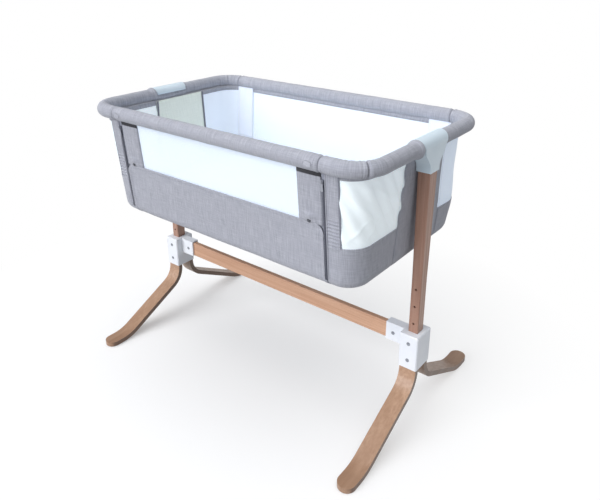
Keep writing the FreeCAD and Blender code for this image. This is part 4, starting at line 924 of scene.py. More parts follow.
# %% Lower front panel
ZIP_ROWS = (0.4865, 0.4875)      # rows just under and over the lower end of the zips
top_rise = rise_of(PANEL_TOP)
front_rows = steps(0, rise_of(ZIP_ROWS[0]), 0.0055) + [rise_of(ZIP_ROWS[1])]
front_rows += steps(rise_of(ZIP_ROWS[1]), top_rise - 0.026, 0.005)[1:]
front_rows += [top_rise - d for d in (0.024, 0.021, 0.018, 0.015, 0.012, 0.0105, 0.009,
                                      0.0075, 0.006, 0.004, 0.0025, 0.0012, 0.0004, 0.0)]
front_columns = steps(-PANEL_HALF, PANEL_HALF, 0.005)
extra = [PANEL_HALF - d for d in (0.0015, 0.003, 0.0075, 0.009, 0.0105, 0.013)]
front_columns = sorted(set(front_columns + extra + [-x for x in extra]))
front = panel("panel_front", front_columns, front_rows, front_put, fabric, front_cut)
front_area = area_of(front)
thicken(front, CLOTH, 0.0006)
placed(front, "cradle", "wall_front", slot="grey_fabric")
print("front panel", round(front_area, 4), "m2 of cloth")

# %% [markdown]
# ## The corner panels
# Each goes round a front corner, from the zip to the panel behind the post, with a
# window in it.  Beside the zip the cloth is gathered into short ribs.  The ribs are a
# wave in the height of the cloth, so the rows are finest there.

# %% Ribs beside the zip
RIB_PITCH, RIB_DEPTH = 0.0086, 0.0016
RIB_LOW, RIB_HIGH = 0.572, 0.652
RIB_START, RIB_END = 0.352, 0.387
RIB_SEAM = 0.3855


def ribbed(around, height):
    """Gathered cloth beside the zip: short folds across the strip."""
    left = abs(around)
    across = min(max((left - RIB_START) / 0.006, 0), 1) * min(
        max((RIB_END - left) / 0.006, 0), 1)
    along = min(max((height - RIB_LOW) / 0.008, 0), 1) * min(
        max((RIB_HIGH - height) / 0.010, 0), 1)
    fold = math.cos(2 * math.pi * (height + 0.02 * (left - 0.37)) / RIB_PITCH)
    edge = -0.0010 * math.exp(-((left - RIB_SEAM) / 0.0016) ** 2) * (height > WINDOW_LOW)
    return RIB_DEPTH * across * along * fold + edge + window_edge(height)


def window_edge(height):
    """The seam under and over a window."""
    return -0.0008 * math.exp(-((height - WINDOW_LOW + 0.007) / 0.0015) ** 2)


def zip_edge(height):
    """The mark where a corner panel begins, beside the zip and under it."""
    return ZIP_X + (0.0037 if height > ZIP_LOW else 0.0003)


print("ribs:", round((RIB_HIGH - RIB_LOW) / RIB_PITCH, 1))

# %% Corner panels
corner_rows = rises(BOTTOM + EDGE, WALL_HIGH, 0.006, *ZIP_ROWS, RIB_LOW, WINDOW_LOW,
                    WINDOW_HIGH)
low_rows = steps(0, EDGE_ARC, 0.005)[:-1]
fine = [rise_of(RIB_LOW) + k * 0.0012 for k in range(1, 67)]
corner_rows = sorted({round(r, 6) for r in low_rows + corner_rows + fine
                      if r not in (rise_of(WINDOW_LOW), rise_of(WINDOW_HIGH))}
                     | {rise_of(WINDOW_LOW), rise_of(WINDOW_HIGH)})
corner_rows = [r for k, r in enumerate(corner_rows)
               if k == 0 or r - corner_rows[k - 1] > 0.0003 or r in (
                   rise_of(WINDOW_LOW), rise_of(WINDOW_HIGH))]
wall_rows = steps(0, EDGE_ARC, 0.005)[:-1] + rises(BOTTOM + EDGE, WALL_HIGH, 0.007,
                                                   WINDOW_LOW - 0.007, WINDOW_LOW,
                                                   WINDOW_HIGH)
right_marks = [zip_edge, front_mark(CORNER_WINDOW_X), end_mark(-1)]
left_marks = [other(mark) for mark in reversed(right_marks)]
for side, marks, window in (("right", right_marks, 1), ("left", left_marks, 0)):
    corner = walling("panel_corner_" + side, marks, corner_rows, fabric, {window}, ribbed,
                     0.004)
    placed(corner, "cradle", "wall_corner_" + side, slot="grey_fabric")
    cut_from(corner, CORNER_CUT)

# %% [markdown]
# ## End panels and the back
# The panels behind the posts have slanting edges, and the back panel is one long piece
# with three windows that carries on round both back corners.  The marks do the cutting:
# a mark may slant, and a column range of the grid between two marks is left open.

# %% End panels behind the posts
def end_relief(around, height):
    return window_edge(height) * 1.2


for side, marks in (("right", [end_mark(-1), end_mark(1)]),
                    ("left", [other(end_mark(1)), other(end_mark(-1))])):
    end = walling("panel_end_" + side, marks, wall_rows, fabric, relief=end_relief)
    placed(end, "cradle", "wall_end_" + side, slot="grey_fabric")
    cut_from(end, END_CUT)

# %% The back
back_marks = [end_mark(1), back_mark(CORNER_WINDOW_X), back_mark(BACK_WINDOW_X),
              back_mark(BACK_WINDOW_X, 1), back_mark(CORNER_WINDOW_X, 1), far_end(1)]
back_rows = steps(0, EDGE_ARC, 0.005)[:-1] + rises(BOTTOM + EDGE, WALL_HIGH, 0.007,
                                                   BACK_SILL, WINDOW_HIGH)
back = walling("panel_back", back_marks, back_rows, fabric, {0, 2, 4}, sill=BACK_SILL)
placed(back, "cradle", "wall_back", slot="grey_fabric")
cut_from(back, BACK_CUT)

# %% [markdown]
# ## Bound edges
# A narrow dark tape binds the upright edge of each corner window.  It is half round, so
# its height over the cloth is a half circle.

# %% A bound edge beside each corner window
BOUND_FROM, BOUND_WIDE = 0.3832, 0.0040


def bound_put(around, rise):
    place = (abs(around) - BOUND_FROM) / BOUND_WIDE
    lift = 0.0010 * math.sqrt(max(0, 1 - (2 * place - 1) ** 2))
    return wall(around, rise, -0.0004 + lift)


for side, sign in (("right", 1), ("left", -1)):
    low, high = sorted((sign * BOUND_FROM, sign * (BOUND_FROM + BOUND_WIDE)))
    bound = panel("window_binding_" + side, steps(low, high, 0.0005),
                  rises(WINDOW_LOW - 0.001, 0.7565, 0.004), bound_put, fabric_dark)
    placed(bound, "cradle", slot="grey_fabric")
    print(bound.name, 1000 * BOUND_WIDE, "mm wide")

# %% [markdown]
# ## Nets in the windows
# A net is cut a little larger than its window and sewn behind the edge.  It is never
# drum tight: diagonal creases run from the corners, where the pull is strongest.

# %% Creases
NET_BACK = 0.0017
LAP = 0.004


def crease(around, height, lines):
    """Sharp low ridges along slanting lines: (place, height, slope, length, size)."""
    out = 0.0
    for place, level, slope, length, size in lines:
        turn = math.atan(slope)
        dx, dz = around - place, height - level
        along = dx * math.cos(turn) + dz * math.sin(turn)
        away = -dx * math.sin(turn) + dz * math.cos(turn)
        out += size * math.exp(-abs(away) / 0.0035) * math.exp(-(along / length) ** 2)
    return out


corner_creases = [(0.415, 0.70, -1.1, 0.06, 0.0022), (0.445, 0.665, -0.9, 0.05, 0.0020),
                  (0.425, 0.62, 0.9, 0.045, 0.0018), (0.47, 0.62, 1.2, 0.04, 0.0018),
                  (0.50, 0.70, -0.8, 0.05, 0.0016), (0.53, 0.64, 0.7, 0.05, 0.0014)]
print("creases in a corner net:", len(corner_creases))


# %% A net behind a window
def netted(name, marks, lines=(), size=0.006, sill=WINDOW_LOW, cloth=net):
    def relief(around, height):
        middle = min(max((height - sill) / 0.02, 0), 1) * min(
            max((WINDOW_HIGH - height) / 0.02, 0), 1)
        folds = 0.0022 * math.sin((abs(around) + 0.55 * height) * 150) if lines else 0.0
        return middle * (1.3 * crease(abs(around), height, lines) + folds
                         + 0.0012 * bumpy(around, height, 0, size=0.05, seed=7))
    return walling(name, marks, rises(sill - LAP, WINDOW_HIGH + LAP, size), cloth,
                   relief=relief, size=size, thickness=0, back_by=NET_BACK)


def shifted(mark, by):
    return lambda height: mark(height) + by


print("a net laps its window by", 1000 * LAP, "mm")

# %% Window nets
right_net = [shifted(front_mark(CORNER_WINDOW_X), -LAP), shifted(end_mark(-1), LAP)]
left_net = [other(mark) for mark in reversed(right_net)]
back_right = [shifted(end_mark(1), -LAP), shifted(back_mark(CORNER_WINDOW_X), LAP)]
back_left = [shifted(back_mark(CORNER_WINDOW_X, 1), -LAP), shifted(far_end(1), LAP)]
back_wide = [shifted(back_mark(BACK_WINDOW_X), -LAP),
             shifted(back_mark(BACK_WINDOW_X, 1), LAP)]
for name, node, marks, lines, size in (
        ("net_corner_right", "mesh_corner_right", right_net, corner_creases, 0.003),
        ("net_corner_left", "mesh_corner_left", left_net, corner_creases, 0.003),
        ("net_back_corner_right", "mesh_back_corner_right", back_right, (), 0.006),
        ("net_back_corner_left", "mesh_back_corner_left", back_left, (), 0.006),
        ("net_back", "mesh_back", back_wide, (), 0.008)):
    sill = BACK_SILL if "back" in name else WINDOW_LOW
    made = netted(name, marks, lines, size, sill, net_pale if "back" in name else net)
    placed(made, "cradle", node, slot="mesh_net")
    width = abs(marks[1](0.66) - marks[0](0.66))
    print(name, round(width, 3), "m wide")

# %% [markdown]
# ## The window of the side that opens
# Its net runs from the rail down behind the front panel, and folds at the hinge when the
# side is let down.  Here it is one piece, made in its place with the side up.

# %% Drop side window
HINGE_HEIGHT = 0.640
NET_HALF = 0.2765
NET_FOOT, RAIL_FOOT = 0.612, 0.7545


def drop_net_put(x, rise):
    height = height_of(rise)[0]
    edge = min(1, (NET_HALF - abs(x)) / 0.05) * min(1, (RAIL_FOOT - height) / 0.03)
    wave = 0.0010 * bumpy(x, height, 0, size=0.07, seed=3)
    wave += 0.0006 * math.sin(x * 60 + height * 35)
    return wall(x, rise, -0.0035 + wave * edge)


drop_net = panel("net_drop_side", steps(-NET_HALF, NET_HALF, 0.006),
                 rises(NET_FOOT, RAIL_FOOT, 0.0035), drop_net_put, net_pale)
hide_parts("drop_mesh")
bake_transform(drop_net)
print("drop window", round(area_of(drop_net), 4), "m2 of net")

# %% [markdown]
# ## The padded strips
# Two strips of padded cloth cover the steel arms and the hinges of the drop side.  Their
# edges are turned round, two seams run down them, and the knuckle of the hinge shows as a
# swelling.

# %% How a strip swells
STRIP_INNER, STRIP_OUTER = 0.2733, 0.3405
STRIP_LOW, STRIP_HIGH = 0.6215, 0.7390
STRIP_BACK = 0.0072
STRIP_SEAM = 0.0075            # how far a strip's two seams are from its edges
STRIP_CROWN, KNUCKLE = 0.0010, 0.0068
ARM_X = 0.3066


def strip_swell(across, height):
    """How far the padded strip stands out: round edges, and a swelling at the hinge."""
    edge = min(across, STRIP_OUTER - STRIP_INNER - across)
    low = height - STRIP_LOW
    rounded = -0.0030 * (1 - math.sqrt(1 - (1 - min(edge / 0.004, 1)) ** 2))
    foot = -0.0035 * (1 - math.sqrt(1 - (1 - min(max(low, 0) / 0.005, 1)) ** 2))
    centre = STRIP_INNER + across - ARM_X
    swell = STRIP_CROWN * math.cos(min(abs(centre) / 0.033, 1) * math.pi / 2)
    knuckle = KNUCKLE * math.exp(-(centre / 0.013) ** 2) * math.exp(
        -((height - HINGE_HEIGHT) / 0.010) ** 2)
    seams = -0.0010 * math.exp(-((edge - STRIP_SEAM) / 0.0013) ** 2)
    puckers = 0.0006 * math.sin(height * 420 + 30 * across) * math.exp(
        -max(low - 0.004, 0) / 0.022) + 0.0005 * bumpy(across, height, 0, size=0.02)
    return 0.0004 + rounded + foot + swell + knuckle + seams + puckers


print("a strip at the hinge stands out by",
      round(1000 * strip_swell(ARM_X - STRIP_INNER, HINGE_HEIGHT), 1), "mm")

# %% Padded strips over the arms
for side, sign in (("right", 1), ("left", -1)):
    width = STRIP_OUTER - STRIP_INNER
    lap = STRIP_BACK + 0.001
    columns = [-lap, -lap * 0.5] + steps(0, width, 0.0024) + [width + lap * 0.5, width + lap]

    def strip_put(a, rise, sign=sign, width=width):
        local = a if sign > 0 else width - a
        height = height_of(rise)[0]
        inside = min(max(local, 0), width)
        beyond = max(-local, local - width, 0)
        out = strip_swell(inside, height) - beyond
        return wall(sign * (STRIP_INNER + inside), rise, out)

    strip = panel("strip_" + side, columns, rises(STRIP_LOW, STRIP_HIGH, 0.0024),
                  strip_put, fabric)
    thicken(strip, 0.0015)
    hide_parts("drop_strip_" + side)
    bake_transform(strip)
    print(strip.name, round(area_of(strip), 4), "m2")

# %% [markdown]
# ## Cloth in the shade
# A dark slot is left between each strip and the rail, and the round corners of the front
# panel show what lies behind.  Small pieces of cloth a little behind the surface fill
# both places, so that no gap can be looked through.  The slot's cloth is dark felt that
# paints the shade in the slot under the rail.

# %% Slot cloths and corner cloths
for side, sign in (("right", 1), ("left", -1)):
    # the slot's cloth is dark felt: painted shade in the slot under the rail
    low, high = sorted((sign * (STRIP_INNER + 0.001), sign * (STRIP_OUTER + 0.0005)))
    slot_shade_cloth = panel("slot_cloth_" + side, steps(low, high, 0.006),
                       rises(0.731, 0.7575, 0.004),
                       lambda x, rise: wall(x, rise, -0.0012), felt)
    thicken(slot_shade_cloth, 0.001)
    sewn(placed(slot_shade_cloth, "drop_side", slot="grey_fabric"), high - low)
    low, high = sorted((sign * 0.296, sign * 0.3440))
    corner_cloth = panel("corner_cloth_" + side, steps(low, high, 0.004),
                         rises(0.590, 0.634, 0.004),
                         lambda x, rise: wall(x, rise, -0.0030), fabric_dark)
    thicken(corner_cloth, 0.001)
    sewn(placed(corner_cloth, "cradle", slot="grey_fabric"), high - low)

# %% [markdown]
# ## The padded rail
# Foam is wrapped round a steel tube and covered with a fabric sleeve.  A sleeve is a
# tube of cloth: its grid runs along the rail and round it.  The ends are drawn in with a
# thread, seams make a groove, and in the bends the cloth gathers on the inside.

# %% The rail's centre line
RING = (0.4537, 0.2657)
RING_CORNER = 0.070
RING_HEIGHT = 0.7713
PAD = 0.0186
FLAT, SIDE = RING[0] - RING_CORNER, RING[1] - RING_CORNER
BEND = RING_CORNER * math.pi / 2
HALF_RING = 2 * FLAT + 2 * SIDE + 2 * BEND


def loop(along):
    """A point of the rail's centre line and the level direction away from the basket."""
    if abs(along) > HALF_RING:
        along -= math.copysign(2 * HALF_RING, along)
    left = abs(along)
    if left <= FLAT:
        spot, turn = (left, -SIDE), 0.0
    elif left <= FLAT + BEND:
        spot, turn = (FLAT, -SIDE), (left - FLAT) / RING_CORNER
    elif left <= FLAT + BEND + 2 * SIDE:
        spot, turn = (FLAT, left - FLAT - BEND - SIDE), math.pi / 2
    elif left <= FLAT + 2 * BEND + 2 * SIDE:
        spot, turn = (FLAT, SIDE), math.pi / 2 + (left - FLAT - BEND - 2 * SIDE) / RING_CORNER
    else:
        spot, turn = (HALF_RING - left, SIDE), math.pi
    sign = -1 if along < 0 else 1
    away = Vector((sign * math.sin(turn), -math.cos(turn), 0))
    return Vector((sign * spot[0], spot[1], RING_HEIGHT)) + away * RING_CORNER, away


def bend_share(along):
    """1 in the middle of a bend of the rail, 0 on its straight parts."""
    left = abs(along) if abs(along) <= HALF_RING else 2 * HALF_RING - abs(along)
    for start in (FLAT, FLAT + BEND + 2 * SIDE):
        share = (left - start) / BEND
        if 0 < share < 1:
            return math.sin(share * math.pi)
    return 0.0


print("rail: half ring", round(HALF_RING, 4), "m")

# %% [markdown]
# ## A sleeve of the rail
# Its columns are places along the rail, close together where something happens: at the
# ends, at a seam and in a bend.  Its rows go once round the padding, and the last row is
# joined to the first.  At each place the radius is the padding's, less what seams,
# gathers and the drawn-in end take away.

# %% The end of a sleeve
LIP, CAP = 0.006, 0.010
END_DRAWN = 0.0045


def round_end(inwards):
    """How much thinner the sleeve is near its end; a sewn-in cord makes a low ring."""
    if inwards >= LIP:
        return (0.0006 * math.exp(-((inwards - 0.0095) / 0.0014) ** 2)
                - 0.0006 * math.exp(-((inwards - 0.0070) / 0.0018) ** 2))
    if inwards >= 0:
        return END_DRAWN * (1 - math.sqrt(1 - (1 - inwards / LIP) ** 2))
    return END_DRAWN - inwards


print("a sleeve's end is drawn in by", 1000 * round_end(0), "mm")

# %% A sleeve
SEAM_GROOVE, SEAM_HALF = 0.0016, 0.0016
END_COLUMNS = (0.0003, 0.001, 0.002, 0.0035, 0.0055, 0.007, 0.0082, 0.0095, 0.0108, 0.0125)
GATHER = 0.0011


def sleeve(name, start, end, seams=(), shape=None, fine=(), size=0.005, turns=44):
    """A padded sleeve from start to end, measured round the rail."""
    columns = set(steps(start, end, size))
    for d in END_COLUMNS:
        columns |= {start + d, end - d}
    columns |= {start - 0.004, start - CAP, end + 0.004, end + CAP}
    for low, high, pitch in fine:
        columns |= set(steps(max(low, start), min(high, end), pitch))
    for seam in seams:
        columns |= {seam + d * 0.0011 for d in range(-4, 5)}
    columns = sorted(round(c, 6) for c in columns)
    columns = [c for k, c in enumerate(columns) if k == 0 or c - columns[k - 1] > 2e-4]

    def put(along, girth):
        angle = girth / PAD
        inwards = min(along - start, end - along)
        thin = round_end(inwards)
        for seam in seams:
            away = (along - seam) / SEAM_HALF
            thin += SEAM_GROOVE * math.exp(-away ** 2)
            thin -= 0.0006 * math.exp(-(away / 2.4) ** 2)
        gather = bend_share(along) * max(0.0, -math.cos(angle) + 0.25)
        thin += gather * GATHER * (1 + math.sin(
            along * 430 + 2.5 * bumpy(along, angle * 0.01, 0, size=0.02)))
        thin += 0.0006 * bumpy(along, math.cos(angle) * 0.02, math.sin(angle) * 0.02,
                               size=0.045, seed=1)
        radius = PAD - max(thin, -0.0010)
        if shape:
            radius = shape(along, angle, radius)
        middle, away = loop(min(max(along, start), end))
        return middle + away * radius * math.cos(angle) + Vector(
            (0, 0, radius * math.sin(angle)))

    rows = [PAD * 2 * math.pi * k / turns for k in range(turns + 1)]
    return panel(name, columns, rows, put, fabric, closed=True)


def padding(name, body, node, *span, **how):
    """A sleeve that stands for its node."""
    piece = placed(sleeve(name, *span, **how), body, node, slot="grey_fabric")
    print(name, "has", len(piece.data.polygons), "faces")
    return piece


print("rail padding:", 2000 * PAD, "mm across")

# %% [markdown]
# ## The sleeves of the fixed rail
# Seams divide the padding: a sleeve at each front corner, one along each end, and one
# along the back.  An end's sleeve also meets the white saddle.  It bulges over the
# saddle's front edge and is pressed a little smaller inside.  A function that changes the
# radius place by place can say all of this in one sleeve.

# %% Padding at the saddle
START = 0.3480
CORNER_SEAM = FLAT + RING_CORNER * math.radians(52)
BACK_SEAM = HALF_RING - 0.3870
GAP = 0.0004
END_Y = FLAT + BEND + SIDE     # where the rail passes the middle of an end
SADDLE_FRONT, SADDLE_BACK = 0.0545, 0.0585     # its edges, from the middle of an end
BULGE, BULGE_AT, BULGE_WIDE = 0.0042, 0.062, 0.0075
PRESSED = 0.0184               # the most that the padding's radius is inside the saddle


def at_saddle(along, angle, radius):
    """Padding stands over the front edge of the saddle and passes through the saddle."""
    y = (abs(along) if abs(along) < HALF_RING else 2 * HALF_RING - abs(along)) - END_Y
    if y < -0.056:
        share = math.exp(-((y + BULGE_AT) / BULGE_WIDE) ** 2)
        over = min(1, (-SADDLE_FRONT - y) / 0.004)
        return radius + BULGE * share * math.sqrt(max(over, 0))
    if y < SADDLE_BACK:
        under = min(max((-math.sin(angle) - 0.05) / 0.3, 0), 1) * min(
            max((0.15 - math.cos(angle)) / 0.3, 0), 1)
        return min(radius, PRESSED) + BULGE * under
    near = math.exp(-((y - SADDLE_BACK) / 0.004) ** 2)
    return radius - 0.0030 * near + 0.0010 * math.exp(-((y - 0.068) / 0.005) ** 2)


print("seams at", round(CORNER_SEAM, 4), "and", round(BACK_SEAM, 4), "m round the rail")

# %% Sleeves of the fixed rail
LEFT_SEAM_TURNS = (19, 46, 63)      # degrees round the back left bend
FINE_ZONES = [(END_Y - 0.080, END_Y - 0.050, 0.0012), (END_Y + 0.055, END_Y + 0.075, 0.0015),
              (FLAT, FLAT + BEND, 0.0030)]
for side, sign in (("right", 1), ("left", -1)):
    span = sorted((sign * START, sign * (CORNER_SEAM - GAP)))
    padding("pad_corner_" + side, "cradle", "sleeve_corner_" + side, *span,
            fine=[(*span, 0.0028)], turns=56)
    span = sorted((sign * (CORNER_SEAM + GAP), sign * (BACK_SEAM - GAP)))
    extra_seams = [] if sign > 0 else [
        -(FLAT + BEND + 2 * SIDE + RING_CORNER * math.radians(turn))
        for turn in LEFT_SEAM_TURNS]
    zones = [(*sorted((sign * p, sign * q)), pitch) for p, q, pitch in FINE_ZONES]
    padding("pad_end_" + side, "cradle", "sleeve_end_" + side, *span, seams=extra_seams,
            shape=at_saddle, fine=zones, turns=56)
padding("pad_back", "cradle", "sleeve_back", BACK_SEAM + GAP,
        2 * HALF_RING - BACK_SEAM - GAP, size=0.008)

# %% [markdown]
# ## The sleeve of the drop side
# A finger finds each release button in an oval well in the padding, with a soft lip
# round it.  Short folds gather the cloth beside the rail's ends.  The sleeve is finer
# there, with more rows round it, because a well is only twenty millimetres long.

# %% Button wells
DROP_HALF = 0.3472
BUTTON_X = 0.323
WELL = (0.0103, 0.0064)
WELL_DEEP, WELL_LIP = 0.0045, 0.0011


def at_button(along, angle, radius):
    """An oval well round each button, with a soft lip; folds by the end of the rail."""
    place = abs(along)
    folds = math.exp(-((place - 0.3335) / 0.0055) ** 2) * math.cos(
        2 * math.pi * (place + 0.0012 * math.cos(angle * 2)) / 0.0037)
    side = 1.0 if along > 0 else 0.6
    radius += 0.00055 * folds * side * max(0.0, math.cos(angle - 0.5))
    turned = (angle + math.pi) % (2 * math.pi) - math.pi
    if abs(turned) > 1.2:
        return radius
    across = (place - BUTTON_X) / WELL[0]
    up_down = radius * math.sin(turned) / WELL[1]
    oval = math.hypot(across, up_down)
    lip = WELL_LIP * math.exp(-((oval - 1.17) / 0.11) ** 2)
    depth = min(max((1.06 - oval) / 0.12, 0), 1)
    return radius + lip - WELL_DEEP * depth


print("a well is", 1000 * WELL_DEEP, "mm deep")

# %% The drop side's sleeve
padding("pad_drop_side", "drop_side", "drop_sleeve", -DROP_HALF, DROP_HALF,
        shape=at_button, fine=[(-0.344, -0.308, 0.0008), (0.308, 0.344, 0.0008)],
        turns=110)

# %% [markdown]
# ## Zips
# A zip is two tapes with a coil of teeth along their meeting edges.  The covers are folded
# over it from both sides, so it lies between two soft ridges of fabric.  Only the tape,
# the teeth and the ridges are made here: the slider and its pull come from the model.

# %% A small block
def block(bm, middle, along, out, size):
    """A small block at a place, turned so that its first side lies along a direction."""
    along = along.normalized()
    out = (out - along * out.dot(along)).normalized()
    turn = Matrix((along, out, along.cross(out))).transposed().to_4x4()
    bmesh.ops.create_cube(bm, size=1.0, matrix=Matrix.Translation(middle) @ turn
                          @ Matrix.Diagonal((*size, 1)))


print("blocks make teeth and stitches")

# %% Zip tapes, teeth and the ridges beside them
TOOTH_PITCH = 0.0021
TOOTH = (0.0026, 0.0014, 0.0012)
TEETH_LOW, TEETH_HIGH = 0.489, 0.7235
RIDGE = 0.0035
for side, sign in (("right", 1), ("left", -1)):
    tape = panel("zip_tape_cloth_" + side, steps(-0.0040, 0.0040, 0.002),
                 rises(0.474, 0.7555, 0.010),
                 lambda a, rise, sign=sign: wall(sign * ZIP_X + a, rise, -0.0014), zip_cloth)
    thicken(tape, 0.0008)
    placed(tape, "cradle", "zip_tape_" + side, slot="zip_tape")
    bm = bmesh.new()
    count = int((TEETH_HIGH - TEETH_LOW) / TOOTH_PITCH)
    for k in range(count):
        height = TEETH_LOW + k * TOOTH_PITCH
        for half in (-1, 1):
            rise = rise_of(height + (0 if half < 0 else TOOTH_PITCH / 2))
            middle = wall(sign * ZIP_X + half * 0.0009, rise, 0.0003)
            block(bm, middle, Vector((1, 0, 0)), Vector((0, -1, 0.07)), TOOTH)
    placed(new_piece(bm, "zip_teeth_" + side, coil), "cradle", slot="zip_tape")

    for part, inner, low, high in (("outer", 0.0044, 0.4885, 0.7535),
                                   ("inner", -0.0079, 0.4885, 0.602)):
        start = inner if sign > 0 else -inner - RIDGE

        def ridge_put(a, rise, start=start, low=low, high=high, sign=sign):
            height = height_of(rise)[0]
            middle = (a - start) / RIDGE * 2 - 1
            taper = min(1, (height - low) / 0.006) * min(1, (high - height) / 0.006)
            lift = math.sqrt(max(0, 1 - middle ** 2)) * math.sqrt(max(taper, 0))
            out = -0.0003 + 0.0023 * lift + 0.0002 * bumpy(a, height, 0, size=0.012)
            return wall(sign * ZIP_X + a, rise, out)

        columns = steps(start, start + RIDGE, 0.0005)
        ridge = panel(f"zip_ridge_{part}_{side}", columns, rises(low, high, 0.004),
                      ridge_put, fabric)
        placed(ridge, "cradle", slot="grey_fabric")
print("teeth on each zip:", 2 * count)

# %% [markdown]
# ## Linings
# Inside, the basket is lined: a white band round the foot of the wall, white strips
# behind the grey ones at the back, and a pale panel at each end between grey bindings.

# %% Linings
LINING_TOP = 0.755
LINING_FOOT = 0.584


def lined(name, marks, low, high, material, back_by, thickness=0.0008, size=0.012):
    """A lining inside the wall.  The dark bindings are not printed as cloth.  The dark
    bindings are too narrow to be declared.
    """
    made = walling(name, marks, rises(low, high, 0.008), material, size=size,
                   thickness=thickness, back_by=back_by)
    placed(made, "cradle")
    if material != fabric_dark:
        sewn(made, max(high - low, marks[-1](MEASURED_AT) - marks[0](MEASURED_AT)))


lined("lining_band", [lambda h: -total_at(h), lambda h: 0.0, total_at], 0.5015, 0.586,
      lining, 0.0038)
lined("lining_back_right", [back_mark(CORNER_WINDOW_X + 0.005),
                            back_mark(BACK_WINDOW_X - 0.005)],
      LINING_FOOT, LINING_TOP, lining, 0.0036)
lined("lining_back_left", [back_mark(BACK_WINDOW_X - 0.005, 1),
                           back_mark(CORNER_WINDOW_X + 0.005, 1)],
      LINING_FOOT, LINING_TOP, lining, 0.0036)
for side, flip in (("right", False), ("left", True)):
    spans = {"lining_end_": [end_mark(-1), end_mark(1)],
             "binding_front_": [end_mark(-1), shifted(end_mark(-1), 0.007)],
             "binding_back_": [shifted(end_mark(1), -0.007), end_mark(1)]}
    for name, marks in spans.items():
        if flip:
            marks = [other(mark) for mark in reversed(marks)]
        if name == "lining_end_":
            lined(name + side, marks, LINING_FOOT, LINING_TOP, panel_lining, 0.0036)
        else:
            lined(name + side, marks, LINING_FOOT, LINING_TOP, fabric_dark, 0.0048,
                  0.0010, 0.002)

# %% [markdown]
# ## The floor cloth
# The bottom of the basket is one piece of cloth, stretched over the base tube.  Its cut
# is the outline where the wall's bottom edge begins, so its grid runs round that
# outline and in towards the middle.

# %% Floor cloth
def floor_cut(share, around):
    edge = wall(around, 0.0)
    return edge.x * share, edge.y * share


floor_cloth = panel("floor_cloth", steps(0.02, 1.0, 0.07),
                    steps(-total_at(BOTTOM), total_at(BOTTOM), 0.012),
                    lambda x, y: Vector((x, y, BOTTOM)), fabric_dark, floor_cut)
thicken(floor_cloth, 0.002, offset=1.0)
placed(floor_cloth, "cradle", "floor_fabric", slot="grey_fabric")
print("floor cloth", round(area_of(floor_cloth), 4), "m2")

# %% [markdown]
# ## Piping
# A thin round of fabric finishes the top edge of the front panel.  A curve with a round
# bevel follows the edge, and is made into a mesh at once, so that its place is in its
# mesh like that of every other piece.

# %% A round along a line
def piping(name, points, radius, material):
    curve = bpy.data.curves.new(name, "CURVE")
    curve.dimensions = "3D"
    curve.bevel_depth = radius
    curve.bevel_resolution = 3
    curve.use_fill_caps = True
    spline = curve.splines.new("POLY")
    spline.points.add(len(points) - 1)
    for point, place in zip(spline.points, points):
        point.co = (*place, 1)
    wire = bpy.data.objects.new(name + "_curve", curve)
    scene.collection.objects.link(wire)
    bpy.context.view_layer.update()
    data = bpy.data.meshes.new_from_object(
        wire.evaluated_get(bpy.context.evaluated_depsgraph_get()))
    bpy.data.objects.remove(wire)
    data.name = name
    data.materials.clear()
    data.materials.append(material)
    for face in data.polygons:
        face.use_smooth = True
    made = bpy.data.objects.new(name, data)
    scene.collection.objects.link(made)
    return placed(made, "cradle", slot="grey_fabric")


print("a round has", 4 * (3 + 1), "sides")


# %% Piping on the front panel
def panel_edge(inset, low):
    """Points along the top edge of the front panel and down beside the zips."""
    half, high, radius = PANEL_HALF - inset, PANEL_TOP - inset, PANEL_CORNER - inset
    right_side = [(half, z) for z in steps(low, high - radius, 0.004)[:-1]]
    turn = [(half - radius + radius * math.cos(a), high - radius + radius * math.sin(a))
            for a in steps(0, math.pi / 2, 0.12)]
    top = [(x, high) for x in steps(half - radius, 0, 0.004)[1:]]
    right_half = right_side + turn + top
    return right_half + [(-x, z) for x, z in reversed(right_half[:-1])]


def on_front(points, out):
    return [front_put(x, rise_of(z)) + Vector((0, -out, 0)) for x, z in points]


edge_line = on_front(panel_edge(0.0, 0.598), -0.0006)
piping("piping_front", edge_line, 0.0011, fabric_solid)
print("piping through", len(edge_line), "points")

# %% [markdown]
# ## Stitches
# Stitches are short blocks of thread, one about every three millimetres along a seam,
# half sunk in the cloth.  They are real pieces of mesh and not a painted line, so they
# catch the light.

# %% Sewing along a line
STITCH_PITCH, STITCH = 0.0034, (0.0024, 0.0005, 0.0005)


def sew(bm, points, outs, pitch=STITCH_PITCH):
    """Stitches along a line of points; outs are the ways out of the cloth."""
    travelled, due = 0.0, 0.0
    for (a, b), out in zip(zip(points, points[1:]), outs):
        length = (b - a).length
        while due <= travelled + length and length > 0:
            share = (due - travelled) / length
            block(bm, a.lerp(b, share), b - a, out, STITCH)
            due += pitch
        travelled += length


def outwards(points):
    return [Vector((p.x * 0.2, p.y, 0)) if abs(p.y) > 0.2 else Vector((p.x, p.y * 0.2, 0))
            for p in points]


def seam_on_wall(bm, line, relief, out=0.0004):
    """line is a list of (mark, height) pairs on the wall."""
    points = [wall(mark(z), rise_of(z), relief(mark(z), z) + out) for mark, z in line]
    sew(bm, points, outwards(points))


print("a stitch every", 1000 * STITCH_PITCH, "mm")

